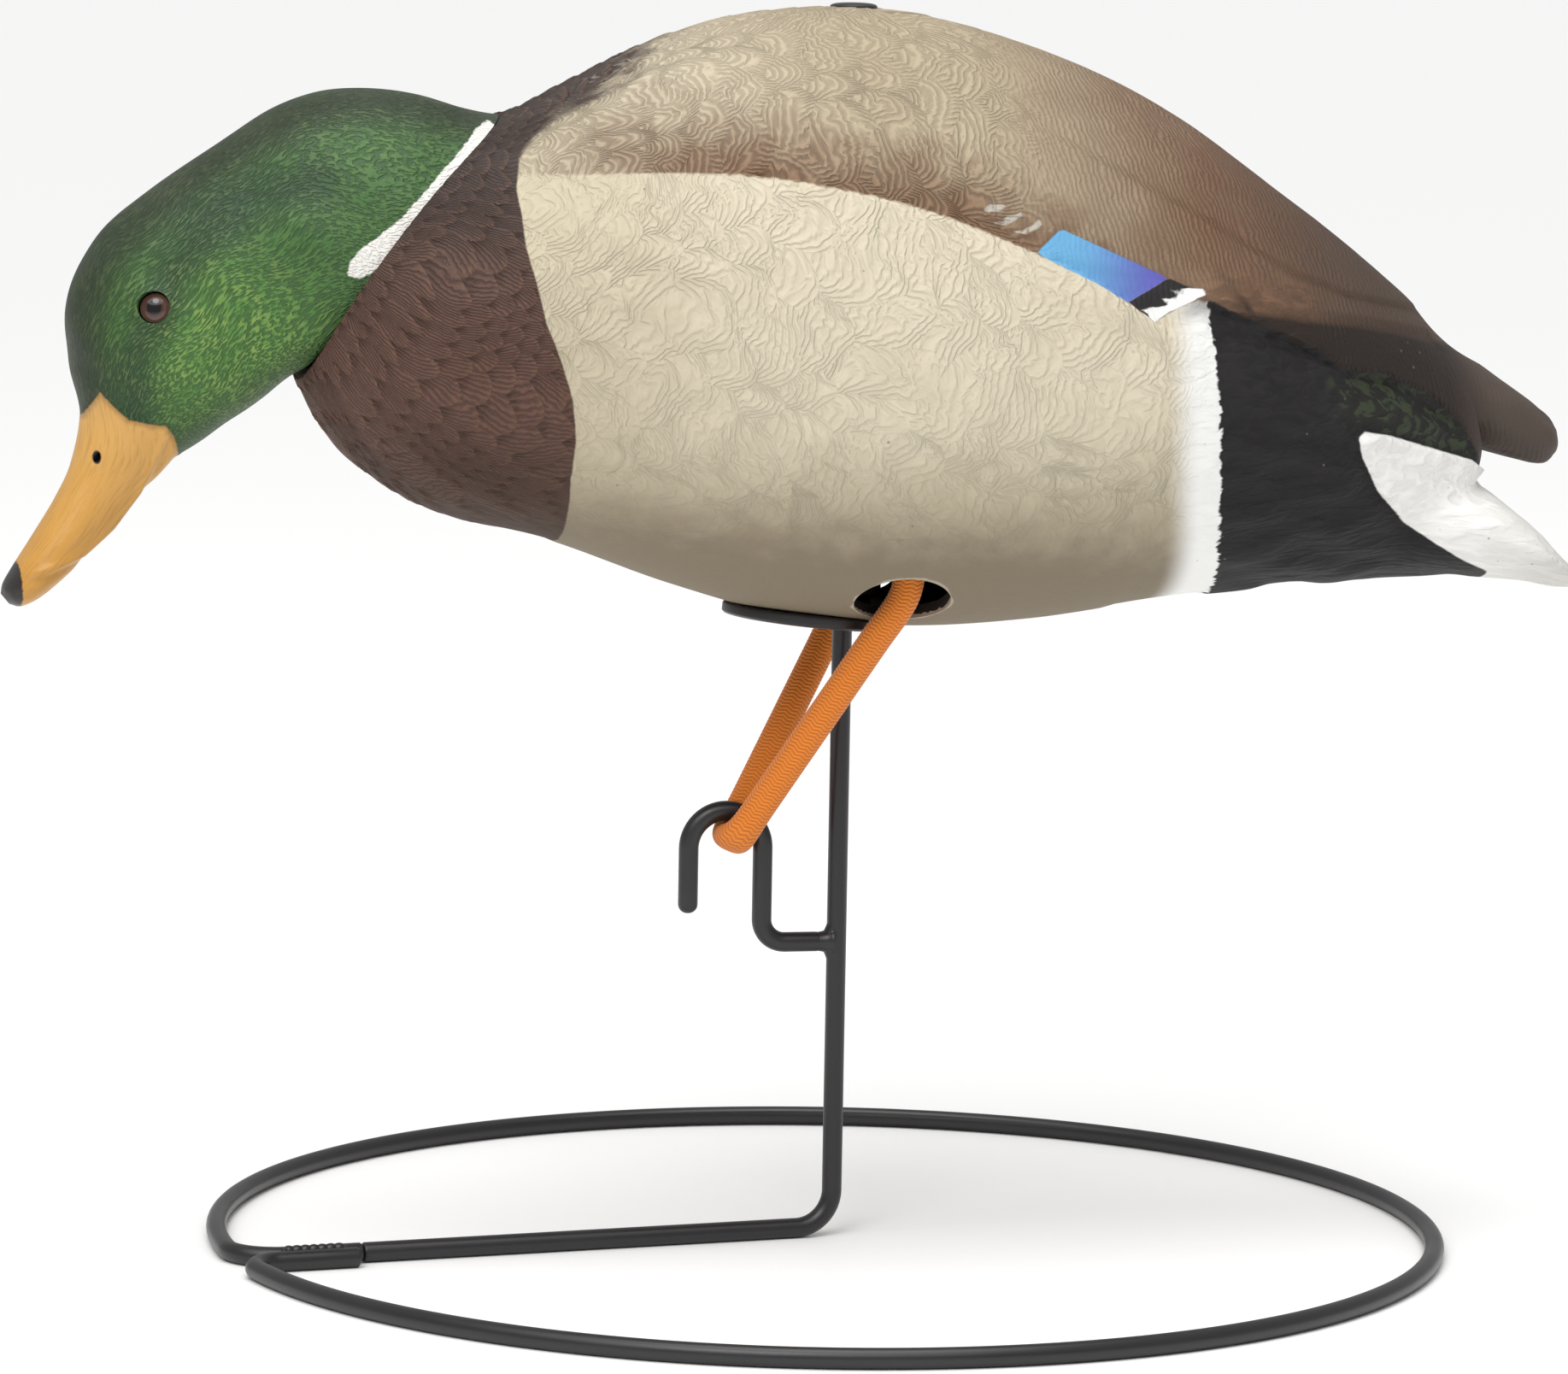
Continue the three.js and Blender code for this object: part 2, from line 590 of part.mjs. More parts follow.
function hookStations() {
  const archZ = HOOK_TOP_Z - ARCH_R;
  const corners = [[HOOK_ROOT_X, 0, HOOK_Z], [HOOK_IN_X, 0, HOOK_Z], [HOOK_IN_X, 0, archZ]];
  const foot = roundedRun(corners, HOOK_BEND_R, 6);
  const archSteps = 12;
  for (let k = 1; k <= archSteps; k += 1) {
    const angle = (k / archSteps) * Math.PI;
    const x = (HOOK_IN_X + HOOK_OUT_X) / 2 + ARCH_R * Math.cos(angle);
    foot.push(new THREE.Vector3(x, 0, archZ + ARCH_R * Math.sin(angle)));
  }
  foot.push(new THREE.Vector3(HOOK_OUT_X, 0, HOOK_TIP_Z));
  return foot;
}

// A weld's fillet is a short sleeve round the joint, cut clear of both rods.
function hookWeld() {
  const { clear, half, r, endR, coneR, coneReach } = WELD;
  const profile = [[0, -half], [endR, 0.5 - half], [r, -half / 2], [r, half / 2],
    [endR, half - 0.5], [0, half]];
  const sleeve = toSolid(turned(profile, 16).translate(0, 0, HOOK_Z));
  const bore = ROD_R + clear;
  const cone = toSolid(rodBetween([0, 0, HOOK_Z], [-coneReach, 0, HOOK_Z], coneR, 16));
  const post = upright([HOOK_Z - 2 * half, HOOK_Z + 2 * half], bore, 16);
  const hook = toSolid(rodBetween([0, 0, HOOK_Z], [-2 * coneReach, 0, HOOK_Z], bore, 16));
  const back = new THREE.BoxGeometry(2 * r, 4 * r, 4 * half).translate(r + 1, 0, HOOK_Z);
  return sleeve.add(cone).subtract(post).subtract(hook).subtract(toSolid(back));
}

// The bead that joins the short end to the arm lies in the groove above them.
function ringWeld() {
  const shortBend = ringBend(1, 2 * ROD_R + GAP);
  const offset = ROD_R + GAP / 2;
  const steps = 3;
  const run = [];
  for (let k = 0; k <= steps; k += 1) {
    const back = BEAD.from + ((BEAD.to - BEAD.from) * k) / steps;
    const [x, y, z] = onArm(shortBend.along - back, offset);
    run.push(new THREE.Vector3(x, y, z + BEAD.rise));
  }
  return sweptRod(run, BEAD.r, 8);
}

// ---- assembly ----
const model = new THREE.Group();
model.position.x = ORIGIN_SHIFT;
const stand = new THREE.Group();
const decoy = new THREE.Group();
const head = new THREE.Group();
decoy.add(head);
model.add(stand, decoy);

const PAINTED_STEEL = { color: 0x2c2b2d, roughness: 0.45, metalness: 0.6 };
const BLACK_PLASTIC = { color: 0x211e1f, roughness: 0.4, metalness: 0 };
const PALE_PLASTIC = { color: 0xb9b2a4, roughness: 0.6, metalness: 0 };
const ZINC = { color: 0x9a9ca0, roughness: 0.35, metalness: 0.9 };
const BODY_PAINT = { color: 0xbfb59c, roughness: 0.75, metalness: 0 };
const HEAD_PAINT = { color: 0x3f7a35, roughness: 0.5, metalness: 0 };
const EYE_GLASS = { color: 0x55403a, roughness: 0.1, metalness: 0 };
const ORANGE_CORD = { color: 0xe8883a, roughness: 0.8, metalness: 0 };

function addPart(group, name, shape, look) {
  const geometry = shape.isBufferGeometry ? shape : toGeometry(shape);
  const mesh = new THREE.Mesh(geometry, new THREE.MeshStandardMaterial(look));
  mesh.name = name;
  group.add(mesh);
  return mesh;
}

addPart(stand, 'base_ring', sweptRod(ringStations(), ROD_R, ROD_SIDES), PAINTED_STEEL);
addPart(stand, 'arm_post', sweptRod(armPostStations(), ROD_R, ROD_SIDES), PAINTED_STEEL);
addPart(stand, 'cord_hook', sweptRod(hookStations(), ROD_R, ROD_SIDES), PAINTED_STEEL);
addPart(stand, 'hook_weld', hookWeld(), PAINTED_STEEL);
addPart(stand, 'ring_weld', ringWeld(), PAINTED_STEEL);

addPart(decoy, 'body_shell', bodyShell(), BODY_PAINT);
addPart(decoy, 'belly_flange', bellyFlange(), BLACK_PLASTIC);
addPart(decoy, 'pivot_tube', pivotTube(), PALE_PLASTIC);
addPart(decoy, 'pivot_cup', pivotCup(), BLACK_PLASTIC);
addPart(decoy, 'back_cap', backCap(), BLACK_PLASTIC);
const cord = sweptRod(cordStations(), CORD_R, CORD_SIDES);
addPart(decoy, 'leg_cord', cord, ORANGE_CORD);
const bar = rodBetween([BAR.x, -BAR.half, BAR.z], [BAR.x, BAR.half, BAR.z], BAR.r, 16);
addPart(decoy, 'anchor_bar', bar, ZINC);

addPart(head, 'head_shell', headShell(), HEAD_PAINT);

for (const [side, label] of [[-1, 'left'], [1, 'right']]) {
  addPart(decoy, `cord_end_${label}`, cordEnd(side), BLACK_PLASTIC);
  addPart(decoy, `bar_cap_${label}`, barCap(side), ZINC);
  const eye = addPart(head, `eye_${label}`, eyeGeometry(), EYE_GLASS);
  eye.position.set(EYE.x, side * EYE.y, EYE.z);
  eye.quaternion.setFromUnitVectors(new THREE.Vector3(0, 0, 1), eyeDirection(side));
}

export default model;
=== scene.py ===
import math

import bpy
import numpy as np
from mathutils import Euler, Matrix, Vector
from mathutils.kdtree import KDTree


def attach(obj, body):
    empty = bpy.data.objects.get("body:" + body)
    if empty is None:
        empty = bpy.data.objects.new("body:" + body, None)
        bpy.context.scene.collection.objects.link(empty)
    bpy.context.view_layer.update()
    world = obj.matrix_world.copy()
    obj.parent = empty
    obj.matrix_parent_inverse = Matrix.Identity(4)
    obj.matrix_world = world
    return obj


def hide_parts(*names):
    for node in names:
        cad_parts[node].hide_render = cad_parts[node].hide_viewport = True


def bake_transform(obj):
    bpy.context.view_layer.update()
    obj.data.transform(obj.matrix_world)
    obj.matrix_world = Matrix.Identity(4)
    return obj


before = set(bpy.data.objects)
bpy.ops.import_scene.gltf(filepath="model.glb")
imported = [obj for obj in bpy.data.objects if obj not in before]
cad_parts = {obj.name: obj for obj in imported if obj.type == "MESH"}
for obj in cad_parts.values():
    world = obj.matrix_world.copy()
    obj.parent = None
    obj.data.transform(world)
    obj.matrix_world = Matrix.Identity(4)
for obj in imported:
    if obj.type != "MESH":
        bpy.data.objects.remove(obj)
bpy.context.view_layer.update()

# The looks of a mallard drake decoy that feeds head down on a ring-base wire stand.
# Shapes are given in millimetres from the post's axis at ground level, as in the CAD
# source, and become metres in the row frame when their mesh is made.
MM = 0.001
ORIGIN_SHIFT = 14.3             # from the post's axis to the row frame's origin, along X
GAP = 0.3                       # between pieces that touch

ROD_R = 3.175
ROD_SIDES = 28
ROD_BEVEL = 0.8
HOOK_BEVEL = 2.9
RING_R = 195
RING_X = -2
ARM_YAW = math.radians(188)
POST_TIP_Z = 377
HOOK_Z = 95.8
HOOK_IN_X = -24.6
HOOK_OUT_X = -48.7
HOOK_TOP_Z = 138.4
HOOK_LEG_Z = 115                # halfway down the hook's free leg
HOOK_TIP_Z = 105.6
ARCH_R = (HOOK_IN_X - HOOK_OUT_X) / 2
CORD_R = 4.75
BAR_X = 14.5
CORD_END_Y = 36
CORD_TOP_Z = 251.7

WALL = 3
RELIEF_DEPTH = 1                # the wall is so much thicker, for the deepest grooves
ROW_LENGTH = 15.5               # of one row of feathers along the body
SCALLOP = 1.7                   # how deep a feather's round end is, in rows
CHEST_FINENESS = 1.8            # feathers of the chest are so much smaller
CHIP_SPACING = 7.5
INSIDE_COLOUR = "211d1b"
SEAM_TOP = (-112.5, 359.5)      # the seam between head and body, in side view: X, Z
SEAM_LOW = (-173.5, 279)
SEAM_SADDLE_R = 110
PLUG_LENGTH = 40
PLUG_ROOT = 24                  # how far it runs into the head
PLUG_HALF = 34
PLUG_HALF_Y = 26
LEG_HOLE = (10, 38, 210.8)
LEG_HOLE_AXIS = (0.04, 0.52, -0.85)
LEG_HOLE_R = 15.2
LEG_HOLE_REACH = 22             # half the length of its cut
HUB_HOLE_Z = (190, 225)
CAP_HOLE_Z = (380, 400)
FLANGE_AT = (-11, 0, 198.8)
FLANGE_HALF = (28, 25)
FLANGE_THICK = 4
FLANGE_TILT = math.radians(5.5)
HUB_R = 8.7
CAP_STEM_R = 3.6
EYE_AT = (-222.6, 23, 298.8)
EYE_R = 4.7
NOSTRIL = (-224.7, 252.2)       # X, Z in the row frame
NOSTRIL_Y = 9.6
NOSTRIL_LEAN = (0.36, 0.93)     # its long way, as X and Z
EYE_SOCKET_DEPTH = 2.6
BRIM_SETBACK = 4.5              # from the seam to the head's own hollow
CUT_PAST = 12                   # a cut runs so far past the surface
CAVITY_END = 0.93               # of the body's ribs, so that the tail stays solid

# Where the tail's three lofts meet, their creases are smoothed away.
JOINT_FROM_X = 150
JOINT_REACH = 6
JOINT_ROUNDS = 40
NOTCH_FROM_X = 232
NOTCH = [(229.6, 213.2), (238, 216.4), (238, 210.6)]

# Ribs: upper outline X, Z, lower outline X, Z, half width.
BODY_RIBS = [
    (-146, 347, -178.5, 290, 20), (-132, 352, -177.3, 283, 37), (-119, 357, -173.9, 272.4, 50),
    (-106, 360.4, -160.5, 252.5, 62), (-88, 369.6, -133, 234.8, 72), (-64, 381.6, -96, 225.3, 80),
    (-36, 389.8, -57, 211.5, 84), (-5, 392.6, -17, 200.7, 86), (28, 389.3, 21, 197.8, 86),
    (66, 378.7, 60, 200.1, 84), (106, 358.9, 100, 206.2, 77), (146, 331.4, 142, 210.4, 64),
    (176, 307.2, 174, 212, 49), (189, 294, 188, 212.4, 40), (199, 286.6, 199, 214.5, 32),
    (203.5, 276, 203.5, 224, 24),
]
TAIL_TIP_RIBS = [
    (172, 304, 172, 262, 24), (205, 283.6, 205, 255, 22), (222, 272.6, 222, 250.6, 17),
    (231, 266, 231, 248.8, 12.5), (235.6, 261, 235.2, 252, 6),
]
TAIL_FAN_RIBS = [
    (176, 256, 176, 214.5, 42), (205, 244.6, 205, 213, 43), (221, 232.4, 221, 211.8, 42),
    (230.5, 222.8, 230.5, 210, 37), (235.6, 217.4, 235.6, 209.6, 30),
]
HEAD_RIBS = [
    (-86, 362, -152, 256, 36), (-99, 359.6, -162, 266, 39), (-112.5, 358.6, -172, 280, 39.5),
    (-124, 360.2, -176.5, 277.8, 38), (-139, 364.6, -182, 274, 36), (-158, 366.1, -187.5, 269.6, 33),
    (-177, 362.5, -193, 265.2, 30.5), (-196, 351.9, -199, 261.1, 29), (-214, 339.5, -205, 256.8, 28),
    (-231, 326.8, -208.7, 254.4, 27), (-242.3, 313, -211.5, 252.8, 24.5),
    (-247.7, 297, -213.7, 251.2, 21), (-246.6, 281.7, -215.7, 249, 17), (-243, 266, -219, 245.2, 14),
    (-245.6, 250, -226.5, 236.6, 12.5), (-250.4, 239, -235, 226.3, 13),
    (-257.2, 227.5, -245.5, 216.1, 13.8), (-263, 218.2, -254.5, 208.4, 13.2),
    (-266.4, 212.4, -260.8, 205.2, 9.5), (-267.2, 209, -264.6, 205.8, 4.5),
]
BILL_RIB = 12

# Painted zones of the body, as closed outlines in side view: X, Z in the row frame.
CHEST = [
    (-26, 430), (-33, 392), (-50, 382), (-64, 371.5), (-75, 364.5), (-86, 358), (-94, 352.4),
    (-99.5, 346), (-102, 337), (-101, 320), (-96, 298), (-90.4, 284), (-87, 274), (-85, 262),
    (-84.5, 249), (-81, 227), (-78, 150), (-320, 150), (-320, 430),
]
WING_FRONT = [
    (-125, 341), (-92, 341.8), (-58, 343.4), (-38, 343.2), (-20, 341.5), (-2, 338.4), (15, 334.7),
    (32, 329.2), (54.8, 320), (75.2, 310.9), (92.8, 299.7),
]
WING_REAR = [(99, 303), (106, 305.8), (112, 305.6), (126.6, 299.5), (138, 294), (149.8, 289.8), (158, 284)]
TAIL_LOW = [(174.4, 282), (193.5, 274.3), (206.4, 265), (212.7, 256.8), (218, 249.5), (300, 249.5)]
BROWN = WING_FRONT + WING_REAR + TAIL_LOW + [(300, 430), (-125, 430)]
TERTIALS = [(128, 303.2), (147, 300.4), (164.5, 298.4), (180, 295.8), (205.4, 290.6), (240, 286),
            (240, 400), (100, 400), (116, 318)]
SCAPULAR = [(60, 358), (85, 345), (97, 338.3), (112.5, 330.3), (128, 321), (139, 315), (163, 306),
            (240, 290), (240, 430), (40, 430), (46, 372)]
WHITE_BAND = [(101, 312), (101.5, 284), (102.5, 268.5), (105.5, 244.5), (112, 219), (120, 180),
              (150, 180), (150, 312)]
RUMP = [(110.2, 307), (112.4, 291.4), (114.6, 277.6), (116.4, 260.4), (119, 244.3), (122.4, 227.4),
        (128.6, 213), (136, 180), (320, 180), (320, 320), (110, 320)]
TUFT = [(153, 280), (174.4, 282.1), (193.5, 274.3), (208.6, 265.7), (211.5, 253.8), (197.2, 257.1),
        (177, 262), (165.6, 264.7), (157, 270.5)]
FAN = [(164.9, 262), (167.1, 264), (177, 262.4), (192, 258.2), (212, 252.7), (218, 249.5), (300, 249.5),
       (300, 180), (225, 180), (222, 214), (219.7, 216.6), (207.9, 221.4), (199.8, 225.8),
       (186.1, 234.1), (174.5, 244.5), (166.8, 256)]
SPECULUM = [(62.5, 327.8), (97.4, 312.8), (83.9, 305.2), (75.2, 310.4), (68.1, 313.7), (54.4, 320.3)]
WING_BAR = [(97.4, 312.8), (104, 310.1), (110, 308.8), (106, 306.4), (99.7, 303.7), (92.8, 299.4),
            (83.9, 305.2)]
SPECULUM_HOLLOW = [*SPECULUM, (109.1, 309.5), (110.6, 308), (105, 305.7)]
WING_JAG = [(97.9, 309.3), (104, 309.6), (109.1, 309.5), (110.6, 308), (105, 305.7), (97.2, 302.4),
            (92.8, 299.4), (91, 300.2), (90.3, 302.1), (87.3, 303.5), (94.7, 304), (99.2, 305.4),
            (94.5, 306.3), (102.5, 307.6)]
FLECKS = [
    [(38, 334.6), (42, 335), (46, 334.6), (45.5, 333.2), (38, 332.6)],
    [(41, 329.4), (46, 331.4), (50.8, 332.8), (50.2, 331.2), (45, 328.6)],
    [(47, 326.6), (53, 328.4), (56, 330.8), (56.8, 328.4), (51, 326.2)],
    [(57, 325.2), (60.2, 328.6), (60.2, 327)],
]
FLANK_UNDER_WING = WING_FRONT + [(100, 292), (100, 150), (-125, 150)]
UNDERSIDE = [(-130, 236), (-84, 238), (-40, 232), (20, 229), (70, 228), (100, 226), (140, 222),
             (140, 150), (-130, 150)]

# Zones of the head.
BILL = [(-260, 266), (-228.6, 264.6), (-224.3, 272.6), (-220, 268), (-215.7, 264.2), (-209, 262.8),
        (-204.4, 262.4), (-201, 258.5), (-198.8, 252.5), (-194, 240), (-225, 170), (-320, 170),
        (-320, 266)]
NAIL = [(-320, 240), (-249.6, 222.6), (-248.4, 220), (-247.6, 216.5), (-247, 206), (-246, 180),
        (-320, 180)]
COLLAR = [(-103.5, 357.2), (-108.6, 354.5), (-122.4, 340.8), (-135.2, 327.2), (-141.8, 321.9),
          (-147.4, 318), (-150.6, 313.6), (-151, 309.8), (-147.5, 309), (-143, 311), (-120, 328),
          (-98, 348)]
LIP = [(-197, 266), (-202.3, 260.5), (-205.2, 252), (-210.5, 240.5), (-218.5, 229.5), (-228, 221.4),
       (-238.7, 216.9), (-247, 214.6), (-256, 213)]
EYE_STRIPE = [(-160, 338), (-180, 332), (-193, 324.6), (-201.7, 311), (-209.1, 299), (-213.9, 280.4),
              (-214, 262)]


# ---- curves, lofts and distances ----
def catmull(points, t):
    """Points on the uniform Catmull-Rom curve through points, for t from 0 to 1."""
    inner = np.asarray(points, float)
    p = np.vstack([2 * inner[0] - inner[1], inner, 2 * inner[-1] - inner[-2]])
    x = np.clip(t, 0, 1) * (len(inner) - 1)
    i = np.minimum(x.astype(int), len(inner) - 2)
    w = (x - i)[:, None]
    start, stop = (p[i + 2] - p[i]) / 2, (p[i + 3] - p[i + 1]) / 2
    return ((2 * w**3 - 3 * w**2 + 1) * p[i + 1] + (w**3 - 2 * w**2 + w) * start
            + (3 * w**2 - 2 * w**3) * p[i + 2] + (w**3 - w**2) * stop)


def loft(ribs, rows, columns, inset=0.0, end=1.0):
    """A grid of points on the shell through the ribs, evenly spaced along it, with each
    row's distance along the shell and each column's angle from the top."""
    dense = np.linspace(0, end, 1500)
    rib = catmull(ribs, dense)
    step = np.diff(rib, axis=0)
    speed = (np.hypot(step[:, 0], step[:, 1]) + np.hypot(step[:, 2], step[:, 3])) / 2
    run = np.concatenate([[0], np.cumsum(speed)])
    along = np.linspace(0, run[-1], rows)
    rib = catmull(ribs, np.interp(along, run, dense))
    angle = np.linspace(-math.pi, math.pi, columns, endpoint=False)
    middle = (rib[:, 0:2] + rib[:, 2:4]) / 2
    half = rib[:, 0:2] - middle
    length = np.linalg.norm(half, axis=1, keepdims=True)
    half *= (length - inset) / length
    grid = np.empty((rows, columns, 3))
    grid[:, :, 0] = middle[:, :1] + half[:, :1] * np.cos(angle) + ORIGIN_SHIFT
    grid[:, :, 1] = (rib[:, 4:5] - inset) * np.sin(angle)
    grid[:, :, 2] = middle[:, 1:] + half[:, 1:] * np.cos(angle)
    return grid, along, np.abs(angle)


def grid_normals(grid):
    """Outward unit normals of a loft's grid, whose columns close on themselves."""
    across = np.roll(grid, -1, axis=1) - np.roll(grid, 1, axis=1)
    ahead = np.gradient(grid, axis=0)
    normal = np.cross(across, ahead)
    normal /= np.linalg.norm(normal, axis=2, keepdims=True) + 1e-9
    outward = grid - grid.mean(axis=1, keepdims=True)
    return normal * np.sign((normal * outward).sum(axis=2).mean())


def line_distance(x, z, line):
    """Distance of each point of a side view from an open line."""
    best = np.full(x.shape, 1e9)
    for (ax, az), (bx, bz) in zip(line[:-1], line[1:]):
        dx, dz = bx - ax, bz - az
        share = np.clip(((x - ax) * dx + (z - az) * dz) / (dx * dx + dz * dz), 0, 1)
        best = np.minimum(best, np.hypot(x - ax - share * dx, z - az - share * dz))
    return best


def depth_inside(x, z, outline):
    """Distance of each point of a side view inside a closed outline, negative outside."""
    inside = np.zeros(x.shape, bool)
    for (ax, az), (bx, bz) in zip(outline, outline[1:] + outline[:1]):
        if az != bz:
            crossing = (az > z) != (bz > z)
            inside ^= crossing & (x < (bx - ax) * (z - az) / (bz - az) + ax)
    distance = line_distance(x, z, outline + outline[:1])
    return np.where(inside, distance, -distance)


def smooth(value, low, high):
    """0 at low, 1 at high and eased between them."""
    share = np.clip((value - low) / (high - low), 0, 1)
    return share * share * (3 - 2 * share)


def ripple(x, y, z, length, seed):
    """A smooth wavy value about -1 to 1 with features of about the given length."""
    rng = np.random.default_rng(seed)
    total = np.zeros(x.shape)
    for _ in range(7):
        direction = rng.normal(size=3)
        direction *= rng.uniform(0.7, 1.5) * 2 * math.pi / length / np.linalg.norm(direction)
        phase = rng.uniform(0, 2 * math.pi)
        total += np.sin(x * direction[0] + y * direction[1] + z * direction[2] + phase)
    return total / 3


def feather_depth(u, v):
    """Distance back from the end of the feather that lies on top, in feather rows."""
    row = np.floor(u)
    shift = np.mod(row, 2) / 2
    near = np.mod(v + shift, 1) - 0.5
    far = np.mod(v + 0.5 - shift, 1) - 0.5
    first = row + 1 - SCALLOP * near**2 - u
    second = row + 2 - SCALLOP * far**2 - u
    return np.where(first >= 0, first, second)


# ---- meshes ----
def new_mesh(name, points, faces):
    mesh = bpy.data.meshes.new(name)
    mesh.from_pydata((np.asarray(points, float).reshape(-1, 3) * MM).tolist(), [], faces)
    mesh.update()
    piece = bpy.data.objects.new(name, mesh)
    bpy.context.scene.collection.objects.link(piece)
    return piece


def closed_grid(name, grid):
    """A closed mesh of rings of points, with each end drawn in to a point."""
    rows, columns = grid.shape[:2]
    ring = np.arange(columns)
    after = (ring + 1) % columns
    base = (np.arange(rows - 1) * columns)[:, None]
    quads = np.stack([base + ring, base + after, base + columns + after, base + columns + ring], 2)
    faces = quads.reshape(-1, 4).tolist()
    first, last = rows * columns, rows * columns + 1
    top = (rows - 1) * columns
    faces += [(first, int(b), int(a)) for a, b in zip(ring, after)]
    faces += [(last, int(top + a), int(top + b)) for a, b in zip(ring, after)]
    points = np.vstack([grid.reshape(-1, 3), grid[0].mean(axis=0), grid[-1].mean(axis=0)])
    piece = new_mesh(name, points, faces)
    face_outward(piece)
    return piece


def face_outward(piece):
    """Turns a closed mesh's faces outward if its volume comes out negative."""
    mesh = piece.data
    mesh.calc_loop_triangles()
    co = np.empty(len(mesh.vertices) * 3)
    mesh.vertices.foreach_get("co", co)
    tri = np.empty(len(mesh.loop_triangles) * 3, int)
    mesh.loop_triangles.foreach_get("vertices", tri)
    corner = co.reshape(-1, 3)[tri].reshape(-1, 3, 3)
    if (np.cross(corner[:, 0], corner[:, 1]) * corner[:, 2]).sum() < 0:
        mesh.flip_normals()


def prism(name, outline, place, low, high):
    """A closed prism: an outline in a frame's first two axes, drawn along its third."""
    count = len(outline)
    ends = [place @ Vector((a, b, level)) for level in (low, high) for a, b in outline]
    sides = [(k, (k + 1) % count, count + (k + 1) % count, count + k) for k in range(count)]
    caps = [tuple(reversed(range(count))), tuple(range(count, 2 * count))]
    piece = new_mesh(name, ends, sides + caps)
    face_outward(piece)
    return piece


def circle(a, b, count=64):
    """An oval outline with half axes a and b."""
    turns = [2 * math.pi * k / count for k in range(count)]
    return [(a * math.cos(t), b * math.sin(t)) for t in turns]


def frame_at(origin, axis, across=(0, 1, 0)):
    """A frame whose third axis is the given one and whose second is nearest to across."""
    third = Vector(axis).normalized()
    second = (Vector(across) - third * third.dot(Vector(across))).normalized()
    first = second.cross(third)
    turn = Matrix((first, second, third)).transposed()
    return Matrix.Translation(Vector(origin) + Vector((ORIGIN_SHIFT, 0, 0))) @ turn.to_4x4()


def carve(piece, tool, operation="DIFFERENCE"):
    """Cuts or joins a closed mesh with another, which is then gone."""
    cut = piece.modifiers.new("cut", "BOOLEAN")
    cut.operation, cut.solver, cut.object = operation, "MANIFOLD", tool
    graph = bpy.context.evaluated_depsgraph_get()
    made = bpy.data.meshes.new_from_object(piece.evaluated_get(graph))
    piece.modifiers.clear()
    old = piece.data
    piece.data = made
    bpy.data.meshes.remove(old)
    bpy.data.meshes.remove(tool.data)


def stand_in(piece, node, paint, angle=42):
    """Finishes a piece that stands for a CAD node: smooth up to an angle, and all in one
    material, whatever slots its cuts have left."""
    mesh = piece.data
    mesh.shade_smooth()
    mesh.set_sharp_from_angle(angle=math.radians(angle))
    mesh.materials.clear()
    mesh.materials.append(paint)
    mesh.polygons.foreach_set("material_index", np.zeros(len(mesh.polygons), np.int32))
    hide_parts(node)


def vertex_points(piece):
    co = np.empty(len(piece.data.vertices) * 3)
    piece.data.vertices.foreach_get("co", co)
    return co.reshape(-1, 3) / MM


def set_field(piece, name, values):
    field = piece.data.attributes.new(name, "FLOAT", "POINT")
    field.data.foreach_set("value", np.asarray(values, np.float32).ravel())


def nearest_rows(rows, points):
    """For each point, the index of the nearest row and its distance."""
    tree = KDTree(len(rows))
    for index, row in enumerate(rows):
        tree.insert(row[:3], index)
    tree.balance()
    found = [tree.find(p) for p in points.tolist()]
    return np.array([f[1] for f in found], int), np.array([f[2] for f in found])


def carry_lattice(piece, rows, near):
    """Gives each vertex the feather coordinates of the nearest row. Returns how much further
    away than near that row is, which is above 0 for the shell's inner side."""
    nearest, away = nearest_rows(rows, vertex_points(piece))
    set_field(piece, "feather_u", rows[nearest, 3])
    set_field(piece, "feather_v", rows[nearest, 4])
    return away - near


def lattice_rows(grid, u, v):
    """A loft's points with their feather coordinates, as rows of five numbers."""
    return np.column_stack([grid.reshape(-1, 3), u.ravel(), v.ravel()])


def swept(name, stations, radii, sides):
    """A closed round rod along stations, each with its own radius or ring of radii."""
    points = np.asarray(stations, float)
    tangent = np.gradient(points, axis=0)
    tangent /= np.linalg.norm(tangent, axis=1, keepdims=True)
    side = np.cross(tangent[0], (0, 1, 0) if abs(tangent[0][1]) < 0.9 else (1, 0, 0))
    angle = np.linspace(0, 2 * math.pi, sides, endpoint=False)
    grid = np.empty((len(points), sides, 3))
    for i, (at, ahead) in enumerate(zip(points, tangent)):
        side = side - ahead * np.dot(side, ahead)
        side /= np.linalg.norm(side)
        other = np.cross(ahead, side)
        ring = np.outer(np.cos(angle) * radii[i], side) + np.outer(np.sin(angle) * radii[i], other)
        grid[i] = at + ring + (ORIGIN_SHIFT, 0, 0)
    return closed_grid(name, grid)


def upright_place():
    """The frame of the post: its third axis is the post's own."""
    return frame_at((0, 0, 0), (0, 0, 1))


def turned(name, profile, place, sides=72):
    """A turned piece about a frame's third axis, from radius and height pairs."""
    rings = [[place @ Vector((r * c, r * s, h)) for c, s in circle(1, 1, sides)] for r, h in profile]
    return closed_grid(name, np.array(rings))


# ---- camera, lights and floor ----
CAMERA_AT = Vector((-460.7, -2048.9, 426.4)) * MM
CAMERA_AIM = Vector((-4.3, 0, 177.8)) * MM
CAMERA_ROLL = math.radians(1.01)
CAMERA_LENS = 152.7
SENSOR_WIDTH = 36
STUDIO_AIM = (0, 0, 0.28)       # metres, as are the lights' places
FLOOR_HALF = 60000


